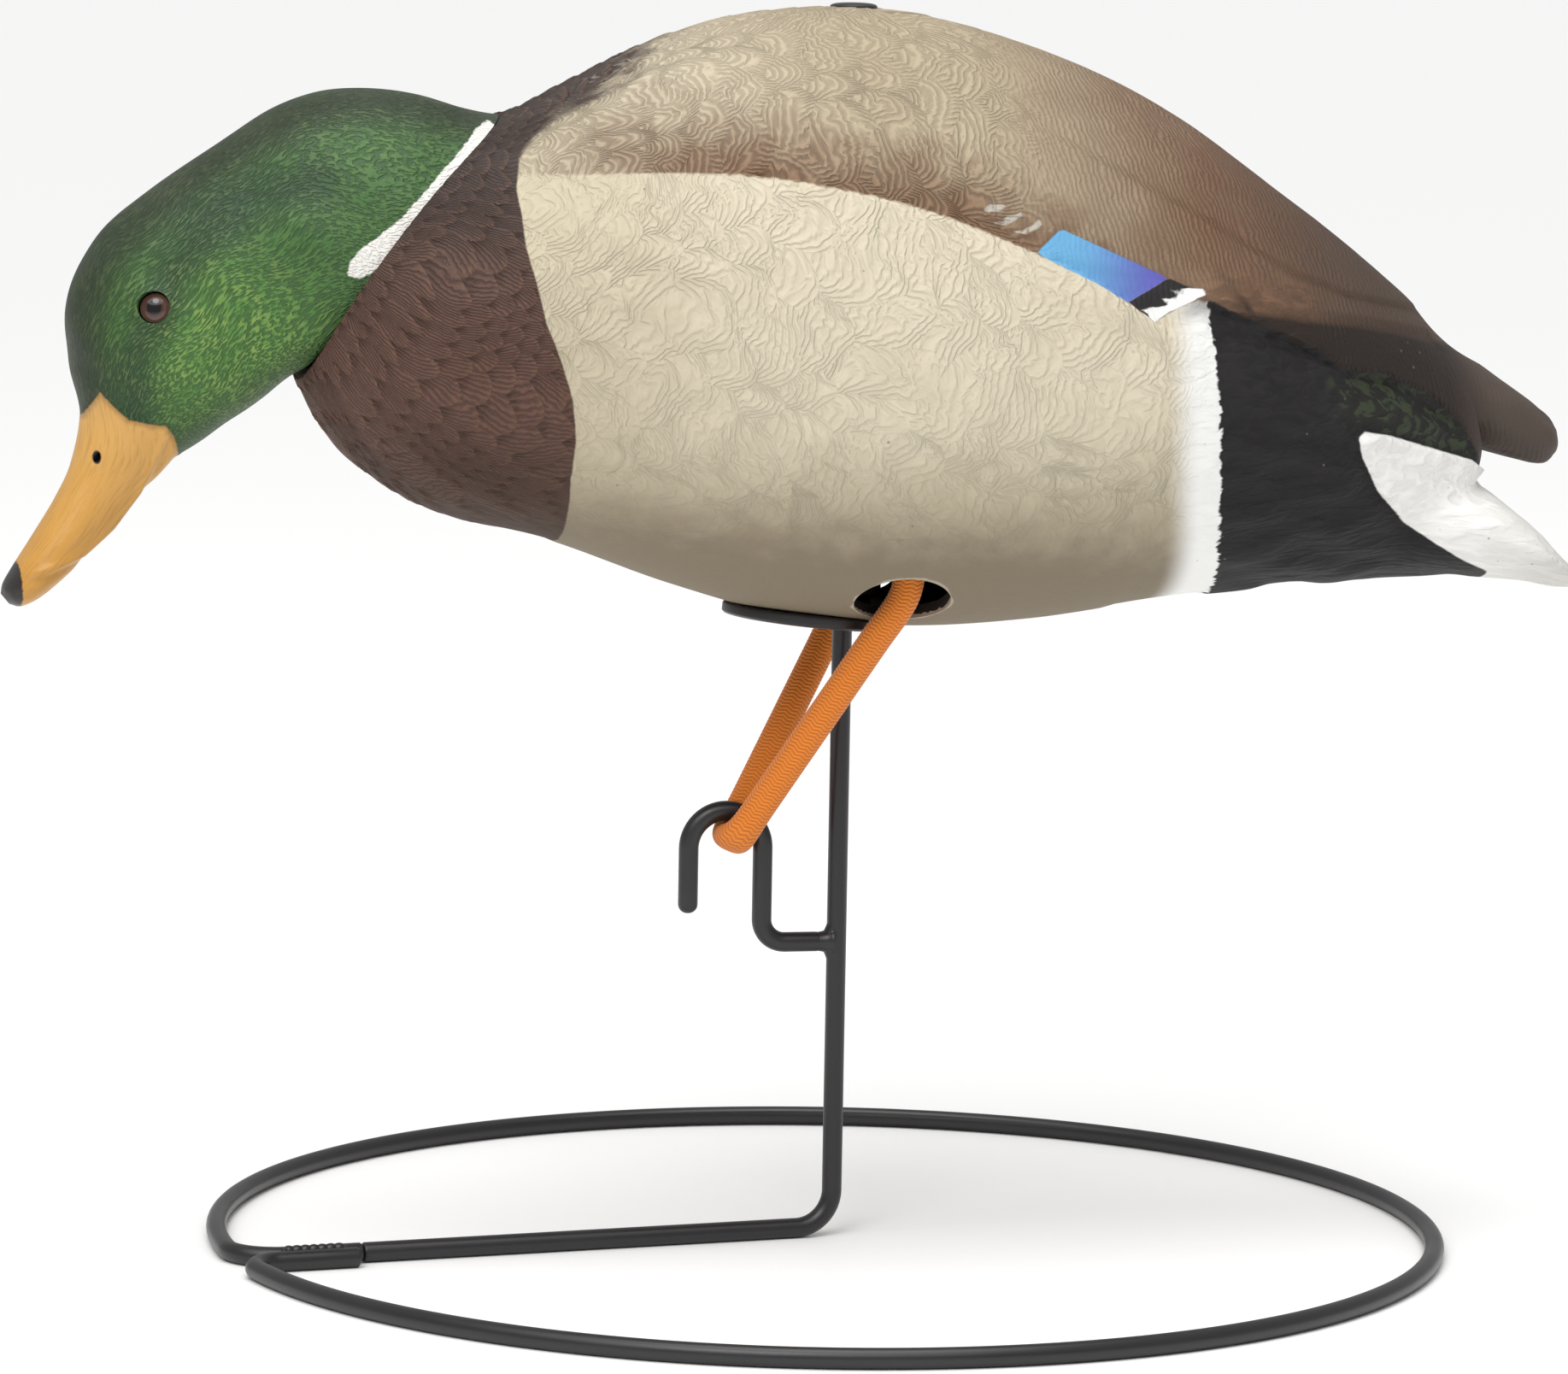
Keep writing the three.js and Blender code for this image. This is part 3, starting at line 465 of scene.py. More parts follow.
def make_camera():
    data = bpy.data.cameras.new("camera")
    data.lens, data.sensor_width = CAMERA_LENS, SENSOR_WIDTH
    camera = bpy.data.objects.new("camera", data)
    bpy.context.scene.collection.objects.link(camera)
    aim = (CAMERA_AIM - CAMERA_AT).to_track_quat("-Z", "Y").to_matrix().to_4x4()
    roll = Matrix.Rotation(CAMERA_ROLL, 4, "Z")
    camera.matrix_world = Matrix.Translation(CAMERA_AT) @ aim @ roll
    bpy.context.scene.camera = camera


def area_light(name, at, size, power, tint=(1, 1, 1)):
    data = bpy.data.lights.new(name, "AREA")
    data.shape, data.size, data.energy, data.color = "DISK", size, power, tint
    light = bpy.data.objects.new(name, data)
    bpy.context.scene.collection.objects.link(light)
    light.location = at
    light.rotation_mode = "QUATERNION"
    light.rotation_quaternion = (Vector(STUDIO_AIM) - Vector(at)).to_track_quat("-Z", "Y")


def make_studio():
    area_light("key_light", (-0.9, -1.5, 2.0), 1.0, 14, (1, 0.985, 0.96))
    area_light("top_light", (0.1, -0.1, 2.2), 1.4, 12)
    data = bpy.data.lights.new("soft_sky", "SUN")
    data.energy, data.angle = 1.9, math.radians(70)
    sky = bpy.data.objects.new("soft_sky", data)
    bpy.context.scene.collection.objects.link(sky)
    sky.rotation_euler = Euler((math.radians(24), math.radians(-16), 0))
    world = bpy.data.worlds.new("studio")
    bpy.context.scene.world = world
    world.use_nodes = True
    background = world.node_tree.nodes["Background"]
    background.inputs["Color"].default_value = (1, 1, 1, 1)
    background.inputs["Strength"].default_value = 0.5
    bpy.context.scene.view_settings.view_transform = "Standard"
    side = FLOOR_HALF
    floor = new_mesh("floor", [(-side, -side, 0), (side, -side, 0), (side, side, 0), (-side, side, 0)],
                     [(0, 1, 2, 3)])
    paint = Paint("pale_floor", roughness=0.6)
    paint.finish("Base Color", paint.mix(paint.noise(6, 3), (0.95, 0.95, 0.945, 1), (0.97, 0.97, 0.965, 1)))
    floor.data.materials.append(paint.material)


# ---- materials ----
def rgb(code):
    """Linear colour of a hex code such as 'bfb59c'."""
    parts = [int(code[k:k + 2], 16) / 255 for k in (0, 2, 4)]
    return tuple(p / 12.92 if p <= 0.04045 else ((p + 0.055) / 1.055) ** 2.4 for p in parts)


class Value:
    """A shader socket that adds and multiplies as a number does."""

    def __init__(self, paint, socket):
        self.paint, self.socket = paint, socket

    def __add__(self, other):
        return self.paint.math("ADD", self, other)

    def __sub__(self, other):
        return self.paint.math("SUBTRACT", self, other)

    def __rsub__(self, other):
        return self.paint.math("SUBTRACT", other, self)

    def __mul__(self, other):
        return self.paint.math("MULTIPLY", self, other)


class Paint:
    """A procedural material: values, numbers and hex colours go in, values come out."""

    def __init__(self, name, roughness=0.5, metallic=0.0, coat=0.0, specular=0.5):
        self.material = bpy.data.materials.new(name)
        self.material.use_nodes = True
        self.tree = self.material.node_tree
        self.place = None
        self.finish("Roughness", roughness)
        self.finish("Metallic", metallic)
        self.finish("Coat Weight", coat)
        self.finish("Specular IOR Level", specular)

    def finish(self, socket, value):
        """Sets an input of the surface shader."""
        self.put(self.tree.nodes["Principled BSDF"].inputs[socket], value)

    def put(self, socket, value):
        if isinstance(value, Value):
            self.tree.links.new(value.socket, socket)
        elif isinstance(value, str):
            socket.default_value = (*rgb(value), 1)
        else:
            socket.default_value = value

    def node(self, kind, inputs, output=0, **settings):
        """An output of a new shader node with the given inputs and settings."""
        node = self.tree.nodes.new("ShaderNode" + kind)
        for name, value in settings.items():
            setattr(node, name, value)
        for name, value in inputs.items():
            self.put(node.inputs[name], value)
        return Value(self, node.outputs[output])

    def math(self, operation, *values):
        return self.node("Math", dict(enumerate(values)), operation=operation)

    def position(self):
        """The place of the shaded point, in mm."""
        if self.place is None:
            metres = self.node("TexCoord", {}, "Object")
            self.place = self.node("VectorMath", {0: metres, "Scale": 1 / MM}, operation="SCALE")
        return self.place

    def axes(self):
        split = self.node("SeparateXYZ", {0: self.position()}).socket.node
        return [Value(self, socket) for socket in split.outputs]

    def vector(self, x, y, z=0.0):
        return self.node("CombineXYZ", {0: x, 1: y, 2: z})

    def field(self, name):
        """A value that the mesh holds at each of its vertices."""
        return self.node("Attribute", {}, "Fac", attribute_type="GEOMETRY", attribute_name=name)

    def between(self, value, low, high, to_low=0.0, to_high=1.0):
        """value eased from low..high to to_low..to_high."""
        inputs = dict(enumerate((value, low, high, to_low, to_high)))
        return self.node("MapRange", inputs, interpolation_type="SMOOTHSTEP")

    def mix(self, share, a, b):
        return self.node("Mix", {"Factor": share, 6: a, 7: b}, 2, data_type="RGBA")

    def coats(self, base, *coats):
        """Coats of paint over a base colour, each with the share that it covers."""
        for share, colour in coats:
            base = self.mix(share, base, colour)
        return base

    def zone(self, name, softness, ragged=0.0, grain=None):
        """How far a painted zone covers, 0 to 1, with a soft and ragged edge in mm."""
        depth = self.field(name)
        if ragged:
            depth = (grain - 0.5) * (2 * ragged) + depth
        return self.between(depth, -softness, softness)

    def noise(self, size, detail=2, vector=None, roughness=0.5, distortion=0.0):
        """Noise from 0 to 1 whose features are about size mm."""
        inputs = {"Vector": vector or self.position(), "Scale": 1 / size, "Detail": detail,
                  "Roughness": roughness, "Distortion": distortion}
        return self.node("TexNoise", inputs, "Fac")

    def wave(self, value):
        """A sine of value, 0 to 1, with one cycle to each unit."""
        return self.math("SINE", value * (2 * math.pi)) * 0.5 + 0.5

    def bump(self, height, depth):
        """Relief of the given depth in mm, for a height from 0 to 1."""
        relief = self.node("Bump", {"Strength": 1, "Distance": depth * MM, "Height": height})
        self.finish("Normal", relief)


def blend(share, a, b):
    """A plain value that goes from a to b as share goes from 0 to 1."""
    return (b - a) * share + a


def feather_nodes(paint):
    """The feather lattice of feather_depth, as values: depth back from the feather's end,
    offset from its middle, and a random number for each feather."""
    on_chest = paint.math("GREATER_THAN", paint.field("chest"), 0)
    fineness = on_chest * (CHEST_FINENESS - 1) + 1
    u, v = paint.field("feather_u") * fineness, paint.field("feather_v") * fineness
    row = paint.math("FLOOR", u)
    shift = paint.math("MODULO", row, 2) * 0.5
    near_v, far_v = v + shift, v + 0.5 - shift
    near, far = paint.math("FRACT", near_v) - 0.5, paint.math("FRACT", far_v) - 0.5

    def depth(offset, rows_on):
        drop = paint.math("POWER", paint.math("ABSOLUTE", offset), 2) * -SCALLOP
        return row + rows_on - u + drop

    first, second = depth(near, 1), depth(far, 2)
    under = paint.math("LESS_THAN", first, 0)
    column = blend(under, paint.math("FLOOR", near_v), paint.math("FLOOR", far_v))
    cell = paint.vector(row + under, column)
    tag = paint.node("TexWhiteNoise", {"Vector": cell}, "Value", noise_dimensions="2D")
    return blend(under, first, second), blend(under, near, far), tag


def flank_colours(paint, x, z, patchy, broad, groove):
    """Cream for the flank, with painted shade in the grooves and towards the front; and the same with more
    painted shade towards the belly.
    """
    flank = paint.coats(paint.mix(broad, "c6bca5", "d2c9b4"),
                        (paint.between(x, -20, -90, 0, 0.45), "a5997f"), (groove * 0.14, "a0947b"))
    return flank, paint.mix(paint.between(patchy * 12 + z, 282, 236, 0, 0.75), flank, "948971")


def back_colour(paint, x, flank, patchy, broad, groove):
    """Tan, with brown brushed along the wing's edge and towards the tail. Near the edge the brown is partly
    painted shade of the hollow above it; the grooves get painted shade, and the tail's lighter tip holds a
    painted highlight.
    """
    between = paint.between
    # Brown near the wing's edge: brushed paint, and partly painted shade of the hollow above the edge.
    edge = between(patchy * 22 + paint.field("brown"), 42, 10) * between(x, -108, -45)
    brushing_and_shade = paint.math("MAXIMUM", edge * 0.85, between(x, 25, 140)) + (broad - 0.5) * 0.5
    primary = between(paint.field("tertials"), -0.2, -3) * between(x, 112, 130)
    # groove darkens the hollows with painted shade; the last coat lightens the tail's tip, partly as a
    # painted highlight.
    return paint.coats(flank, (between(x, -90, 10), "ada087"), (brushing_and_shade, "7c5c45"),
                       (groove * between(brushing_and_shade, 0, 1, 0.3, 0.62), "4b3b30"),
                       (between(patchy * 20 + x, 112, 190, 0, 0.95) * 0.9, "40352e"),
                       (primary * 0.97, "241c18"), (between(x, 200, 226, 0, 0.8), "524740"))


def breast_colour(paint, z, depth, groove):
    """Dark brown, redder below the neck, with painted shade in the grooves, just under the overlapping
    feather ends and low down, and a painted highlight on the feathers' ends.
    """
    between = paint.between
    return paint.coats(paint.mix(between(z, 350, 290), "4a403c", "65493e"), (groove * 0.55, "2e2421"),
                       (between(depth, 0.3, 0.04) * 0.2, "80614f"),
                       (between(depth, 0.7, 1.2, 0, 0.32), "271e1b"),
                       (between(z, 275, 220, 0, 0.85), "35291f"))


def rump_colour(paint, z, grain, barbs, groove):
    """Black, with a patch of greenish curls above the fan, and painted shade in the grooves."""
    tuft = paint.zone("tuft", 3.5, 3, grain) * paint.between(barbs, 0.5, 0.85, 0.05, 0.6)
    return paint.coats(paint.mix(paint.between(z, 230, 290), "171516", "232122"),
                       (groove * 0.6, "121011"), (tuft, "3a452c"))


def body_paint():
    paint = Paint("painted_body", specular=0.25)
    between, field, zone = paint.between, paint.field, paint.zone
    x, y, z = paint.axes()
    depth, offset, tag = feather_nodes(paint)
    grain, patchy, broad = paint.noise(2.4, 3), paint.noise(9, 3), paint.noise(26)
    # Barbs: wavy ridges that follow each feather's round end, and a comb at its tip.
    drift = paint.noise(12, 3, distortion=0.8) * 4.3
    rings = paint.wave(depth * between(tag, 0, 1, 4.0, 5.6) + drift)
    lean = (tag - 0.5) * depth * 5 + grain * 1.3
    coarse_comb, fine_comb = paint.wave(offset * 12 + lean), paint.wave(offset * 6.5 + lean)
    brown = zone("brown", 0.5, 0.9, grain)
    # The neck's dark paint ends softly and unevenly where it runs up onto the back.
    loose = between(z, 342, 374)
    brushed = (patchy - 0.5) * (loose * 9 + 0.8) + (coarse_comb - 0.5) * loose * 2.5
    softness = loose * 3 + 0.35
    chest = between(field("chest") + brushed, softness * -1, softness)
    barbs = blend(between(depth, 0.42, 0.16) * brown, rings, coarse_comb)
    barbs = blend(between(field("chest"), -0.2, 0.2), barbs, fine_comb)
    # Long, almost upright barbs on the hind wing.
    slant = x * 0.55 + z * 0.1 + paint.noise(17, 4, roughness=0.6) * 4.5
    upright = paint.wave(slant + field("scapular_cover") * 0.9) * between(patchy, 0.3, 0.6, 0.35, 0.8)
    hind = between(x, 38, 74) * brown
    barbs = blend(hind, barbs, upright) * between(x, 222, 200, 0.25, 1)
    # Wrinkles on the rump, white band and fan: long, mostly level.
    level = paint.vector(x * 0.2, y, z * 0.8)
    wrinkle = between(paint.noise(2.6, vector=level, distortion=0.5), 0.3, 0.7)
    rump, fan = zone("rump", 0.5, 0.8, wrinkle), zone("fan", 0.3, 0.2, grain)
    band = between(field("white_band"), -5.5, 6.5)
    wrinkled = paint.math("MAXIMUM", rump * (1 - hind), fan)
    barbs = blend(paint.math("MAXIMUM", wrinkled, band), barbs, wrinkle)
    # The underside has less relief, and its colour is darkened with painted shade.
    under = between(patchy * 16 + field("underside"), -8, 17)
    speculum, bar = zone("speculum", 0.25, 0.15, grain), zone("wing_bar", 0.25, 0.15, grain)
    quiet = (1 - under * 0.9) * (1 - speculum * 0.6)
    paint.bump((paint.noise(0.7, 1) * 0.2 + barbs) * quiet, 0.43)
    # groove marks the relief's hollows, which the colours below darken as painted shade.
    groove = 1 - barbs

    flank, low_flank = flank_colours(paint, x, z, patchy, broad, groove)
    back = back_colour(paint, x, flank, patchy, broad, groove)
    # Painted shadow darkens the hollow under the hind wing's lower edge.
    hollow = between(field("brown"), -8, -0.5) * between(x, 98, 108) * between(x, 175, 160)
    pale_fan = paint.mix(between(x, 205, 245), "e6e5e2", "cbc9c4")
    blue = paint.mix(between(x, 64, 96), "69a7d0", "5f5bae")
    # Chips and rubbed rims show the pale moulded plastic.
    speck = paint.node("TexVoronoi", {"Vector": paint.position(), "Scale": 1 / CHIP_SPACING}, "Distance")
    chip = between(speck, 0.075, 0.04) * between(broad, 0.52, 0.6)
    worn = (patchy - 0.5) * 5 + field("rim")
    # Here too the fan and the speculum darken in their grooves: painted shade.
    colour = paint.coats(
        low_flank, (under, "7c715f"), (band, "e4e4e2"), (hollow * 0.6, "3a332c"),
        (rump, rump_colour(paint, z, grain, barbs, groove)),
        (fan, paint.mix(groove * 0.25, pale_fan, "a9a6a0")),
        (brown, back), (speculum, paint.mix(groove * 0.12, blue, "3a4f85")), (bar, "2a2829"),
        (zone("wing_jag", 0.25, 0.3, grain), "e8e8e6"), (zone("flecks", 0.3, 0.5, grain) * 0.85, "b9b4ab"),
        (chest, breast_colour(paint, z, depth, groove)), (chip * 0.7, "6d6252"),
        (between(worn, 0.9, 0.2, 0, 0.7), "b0a695"), (zone("inner", 0.1), INSIDE_COLOUR))
    paint.finish("Base Color", colour)
    paint.finish("Roughness", grain * 0.12 + between(rump, 0, 1, 0.66, 0.6))
    return paint.material


def green_colour(paint, strokes, patchy, broad):
    """Green feathers, lighter on the cheek and darker at the eye, crown and throat, with painted shade
    between the strokes and a painted highlight on their ridges, strongest on the cheek.
    """
    between, field = paint.between, paint.field
    cheek = between(patchy * 16 + field("cheek"), 46, 18)
    ridge_highlight = between(strokes, 0.7, 1.0) * between(patchy, 0.3, 0.75) * (cheek * 0.34 + 0.08)
    return paint.coats(paint.mix(broad, "325626", "3f692d"), (cheek * 0.75, "54853a"),
                       (between(field("crown"), 17, 2), "28341f"),
                       (between(field("eye_stripe") + broad * 8, 16, 5, 0, 0.7), "213a26"),
                       (between(field("throat"), 13, 1, 0, 0.6), "2b4426"),
                       ((1 - strokes) * 0.55, "1a3018"), (ridge_highlight, "a3ad5c"))


def head_paint():
    paint = Paint("painted_head", specular=0.4)
    between, zone = paint.between, paint.zone
    _, y, z = paint.axes()
    u, v = paint.field("feather_u"), paint.field("feather_v")
    flow = paint.vector(u * 0.3, v, y * 0.05)
    strokes = between(paint.noise(0.62, 1, vector=flow, distortion=0.15), 0.34, 0.62)
    broad, patchy, grain = paint.noise(20), paint.noise(7, 3), paint.noise(1.6, 3)
    bill = zone("bill", 0.3, 0.25, grain)
    paint.bump(strokes * (1 - bill) + grain * bill * 0.35, 0.36)

    brushed = paint.noise(2.4, 3, vector=paint.vector(u * 0.25, v, y))
    yellow = paint.coats(paint.mix(broad, "c2934a", "cb9c56"), (between(z, 262, 212, 0, 0.6), "b27c28"),
                         (between(brushed, 0.45, 0.75) * 0.4, "946a30"),
                         (between(paint.field("bill") + grain, 2.6, 0.4, 0, 0.6), "6f5027"))
    colour = paint.coats(green_colour(paint, strokes, patchy, broad), (bill, yellow),
                         (zone("collar", 0.3, 0.7, grain), paint.mix(grain, "f0efea", "d6d3cb")),
                         (zone("nail", 0.3, 0.7, grain), "25211f"), (zone("nostril", 0.2), "151210"),
                         (zone("inner", 0.1), INSIDE_COLOUR))
    paint.finish("Base Color", colour)
    paint.finish("Roughness", grain * 0.1 + between(bill, 0, 1, 0.44, 0.36))
    return paint.material


def eye_paint():
    """Pupil, iris and rim by distance from the eye's axis."""
    paint = Paint("glass_eye", roughness=0.1, coat=0.35, specular=0.35)
    reach = paint.field("radius")
    iris = paint.mix(paint.between(reach, 2.2, 4.2), "3b251f", "6b4c40")
    colour = paint.coats(iris, (paint.noise(0.5, 3) * 0.35, "2b1a16"),
                         (paint.between(reach, 2.4, 2.15), "050404"),
                         (paint.between(reach, 4.1, 4.5), "8d7568"))
    paint.finish("Base Color", colour)
    return paint.material


def mottled_paint(name, dark, light, size, detail, gloss, grain=None, **shine):
    """A hard finish that varies a little. gloss is its least roughness, and how much rougher
    it gets where the mottling is light."""
    paint = Paint(name, **shine)
    broad = paint.noise(size, detail)
    least, more = gloss
    paint.finish("Base Color", paint.mix(broad, dark, light))
    paint.finish("Roughness", broad * more + least)
    if grain:
        paint.bump(paint.noise(grain), 0.03)
    return paint.material


def cord_paint():
    """Woven orange sleeve: fine zigzag ribs that run round the cord, with painted shade between the ribs.
    """
    paint = Paint("orange_cord", roughness=0.78, specular=0.2)
    weave, fuzz = paint.field("weave"), paint.noise(0.35)
    colour = paint.coats(paint.mix(weave, "a85012", "ea882a"), (fuzz * 0.25, "ee9a4e"),
                         (paint.noise(14, 3) * 0.2, "c8752f"))
    paint.finish("Base Color", colour)
    paint.bump(fuzz * 0.5 + weave, 0.12)
    paint.finish("Sheen Weight", 0.2)
    return paint.material


# ---- places shared by several pieces ----
seam_down = Vector((SEAM_LOW[0] - SEAM_TOP[0], 0, SEAM_LOW[1] - SEAM_TOP[1])).normalized()
seam_out = Vector((seam_down.z, 0, -seam_down.x))
seam_middle = ((SEAM_TOP[0] + SEAM_LOW[0]) / 2, 0, (SEAM_TOP[1] + SEAM_LOW[1]) / 2)


def flange_place():
    return frame_at(FLANGE_AT, (math.sin(FLANGE_TILT), 0, math.cos(FLANGE_TILT)))


def leg_hole_axis(side):
    """The way out of the leg hole on side -1, the decoy's left, or 1, its right."""
    return LEG_HOLE_AXIS[0], side * LEG_HOLE_AXIS[1], LEG_HOLE_AXIS[2]


def eye_place(side):
    centre = (EYE_AT[0], side * EYE_AT[1], EYE_AT[2])
    return frame_at(centre, (-0.3, side * 0.93, 0.2), (0, 0, 1))


def head_side(offset):
    """A long block that holds everything on the head's side, with a rounded back."""
    reach = 220
    arc = [math.pi / 2 + math.pi * k / 96 for k in range(97)]
    back = [(SEAM_SADDLE_R + SEAM_SADDLE_R * math.cos(a), SEAM_SADDLE_R * math.sin(a)) for a in arc]
    outline = [(reach, -SEAM_SADDLE_R), (reach, SEAM_SADDLE_R)] + back
    place = frame_at(Vector(seam_middle) + seam_out * offset, seam_out.cross(Vector((0, 1, 0))))
    return prism("head_side", outline, place, -reach, reach)


def neck_oval(half_height, half_width, low, high):
    place = frame_at(seam_middle, seam_out)
    return prism("neck_oval", circle(half_height, half_width, 72), place, low, high)


# ---- body ----
def outline_step(x, z, outline, rise, groove, width):
    """Relief at a zone's edge: proud inside, with a hollow just outside it."""
    depth = depth_inside(x, z, outline)
    inside = smooth(depth, -0.5, 1.0) * rise * np.exp(-np.maximum(depth, 0) / (3 * width))
    outside = -groove * np.exp(-np.maximum(-depth, 0) ** 2 / width**2) * smooth(depth, 0.8, -0.8)
    return inside + outside


def body_relief(grid, u, v):
    """How far the feathers, edges and hollows of the body stand proud, in mm."""
    x, y, z = grid.transpose(2, 0, 1)
    back = depth_inside(x, z, BROWN)
    under = smooth(depth_inside(x, z, UNDERSIDE) + 4 * ripple(x, y, z, 30, 2), -9, 9)
    rump = smooth(depth_inside(x, z, RUMP), -2, 2) * smooth(back, 2, -2)
    hind = smooth(x, 30, 70) * smooth(back, -2, 2)
    chest = smooth(depth_inside(x, z, CHEST), -1.2, 1.2)
    fineness = np.where(chest > 0.5, CHEST_FINENESS, 1)
    scallop = 1 - feather_depth(u * fineness, v * fineness) / 1.5
    flank_share = smooth(back, 1, -2) * (1 - chest)
    amount = 0.75 * (1 - under) * (1 - 0.7 * rump) * (1 - 0.9 * hind) * (1 - 0.72 * flank_share)
    height = amount * (1 + 0.45 * chest) * scallop
    height += rump * 0.7 * ripple(x * 0.5, y, z * 2.4, 26, 11)
    height += flank_share * (1 - under) * 0.4 * ripple(x * 0.8, y, z * 1.5, 17, 15)
    height += 0.35 * ripple(x, y, z, 60, 5) * (1 - under)
    flank = depth_inside(x, z, FLANK_UNDER_WING)
    near_wing = smooth(x, -96, -36) * smooth(x, 101, 94)
    lip = smooth(flank, -0.7, 0.9)
    height += near_wing * (0.6 * lip * np.exp(-np.maximum(flank, 0) / 26)
                           - 1.9 * (1 - lip) * np.exp(-(np.minimum(flank, 0) / 9) ** 2))
    hind_wing = smooth(x, 104, 116)
    height += hind_wing * outline_step(x, z, BROWN, 1.0, 1.9, 7) * smooth(x, 218, 200)
    height += outline_step(x, z, TERTIALS, 1.0, 0.7, 3) * smooth(x, 112, 132)
    height += outline_step(x, z, SCAPULAR, 0.7, 0.5, 3.5) * smooth(x, 50, 80)
    height += outline_step(x, z, FAN, 1.2, 0.9, 3)
    height += outline_step(x, z, SPECULUM_HOLLOW, -0.5, -0.3, 2)
    return height - 0.35 * chest


def body_fields(piece, lattice):
    """Painted zones and feather lattice as values at each vertex, in mm and in feathers."""
    points = vertex_points(piece)
    x, _, z = points.T
    inner = carry_lattice(piece, lattice, 1.6)
    set_field(piece, "inner", np.where(x > NOTCH_FROM_X, -1, inner))
    outlines = {"chest": CHEST, "brown": BROWN, "tertials": TERTIALS, "white_band": WHITE_BAND,
                "rump": RUMP, "tuft": TUFT, "fan": FAN, "speculum": SPECULUM,
                "wing_bar": WING_BAR, "wing_jag": WING_JAG, "underside": UNDERSIDE}
    for name, outline in outlines.items():
        set_field(piece, name, depth_inside(x, z, outline))
    set_field(piece, "flecks", np.max([depth_inside(x, z, fleck) for fleck in FLECKS], axis=0))
    set_field(piece, "scapular_cover", smooth(depth_inside(x, z, SCAPULAR), -1, 1))
    rim = np.full(x.shape, 99.0)
    for side in (-1, 1):
        axis = np.array(Vector(leg_hole_axis(side)).normalized())
        offset = points - (LEG_HOLE[0] + ORIGIN_SHIFT, side * LEG_HOLE[1], LEG_HOLE[2])
        along = offset @ axis
        radial = np.linalg.norm(offset - np.outer(along, axis), axis=1)
        rim = np.minimum(rim, np.where(along > -9, np.abs(radial - LEG_HOLE_R), 99))
    set_field(piece, "rim", rim)


def feather_lattice(grid, along, angle, columns, seed):
    """Feather coordinates of a loft's points, drifting a little from a regular lattice."""
    x, y, z = grid.transpose(2, 0, 1)
    u = along[:, None] / ROW_LENGTH + 0.42 * ripple(x, np.abs(y), z, 46, seed)
    v = angle[None, :] / math.pi * columns + 0.4 * ripple(x, np.abs(y), z, 40, seed + 1)
    return u, v + 40


def soften_joints(body, lattices):
    """Rounds the creases where the tail's lofts leave the body, which is where a vertex is near
    two of them. Gives the moved vertices as more rows of the feather lattice."""
    points = vertex_points(body)
    tail = np.flatnonzero(points[:, 0] > JOINT_FROM_X)
    reach = [nearest_rows(rows, points[tail])[1] for rows in lattices]
    second = np.sort(reach, axis=0)[1]
    pull = np.zeros(len(points))
    pull[tail] = smooth(second, JOINT_REACH, JOINT_REACH / 3)
    edges = np.empty(len(body.data.edges) * 2, int)
    body.data.edges.foreach_get("vertices", edges)
    edges = edges.reshape(-1, 2)
    edges = edges[(pull[edges] > 0).any(axis=1)]
    count = np.zeros(len(points))
    np.add.at(count, edges.ravel(), 1)
    for _ in range(JOINT_ROUNDS):
        total = np.zeros(points.shape)
        np.add.at(total, edges[:, 0], points[edges[:, 1]])
        np.add.at(total, edges[:, 1], points[edges[:, 0]])
        mean = total / np.maximum(count, 1)[:, None]
        points += (mean - points) * (0.6 * pull * (count > 0))[:, None]
    body.data.vertices.foreach_set("co", (points * MM).ravel())
    body.data.update()
    moved = tail[pull[tail] > 0]
    near, _ = nearest_rows(lattices[0], points[moved])
    return np.column_stack([points[moved], lattices[0][near, 3:5]])


def add_tail(body, lattice):
    """Joins the tail's tip and its fan to the body, and adds them to the feather lattice."""
    for name, ribs, columns in (("tail_tip", TAIL_TIP_RIBS, 84), ("tail_fan", TAIL_FAN_RIBS, 110)):
        part, along, angle = loft(ribs, 46, columns)
        u, v = feather_lattice(part, along, angle, 4, 7)
        x, y, z = part.transpose(2, 0, 1)
        fold = 0.22 * ripple(x * 0.3, y, z, 9, 21)
        part += grid_normals(part) * fold[:, :, None]
        lattice.append(lattice_rows(part, u, v))
        carve(body, closed_grid(name, part), "UNION")
    lattice.append(soften_joints(body, lattice))
    across_body = frame_at((0, 0, 0), (0, 1, 0), (0, 0, 1))
    carve(body, prism("notch", NOTCH, across_body, -60, 60))


def hollow_out(body):
    """Cuts the cavity, which leaves a boss round the belly pocket."""
    cavity, _, _ = loft(BODY_RIBS, 40, 48, inset=WALL + RELIEF_DEPTH, end=CAVITY_END)
    hollow = closed_grid("cavity", cavity)
    boss = circle(FLANGE_HALF[0] + WALL + 1, FLANGE_HALF[1] + WALL + 1)
    carve(hollow, prism("boss", boss, flange_place(), -CUT_PAST, FLANGE_THICK + WALL + 0.8))
    carve(body, hollow)


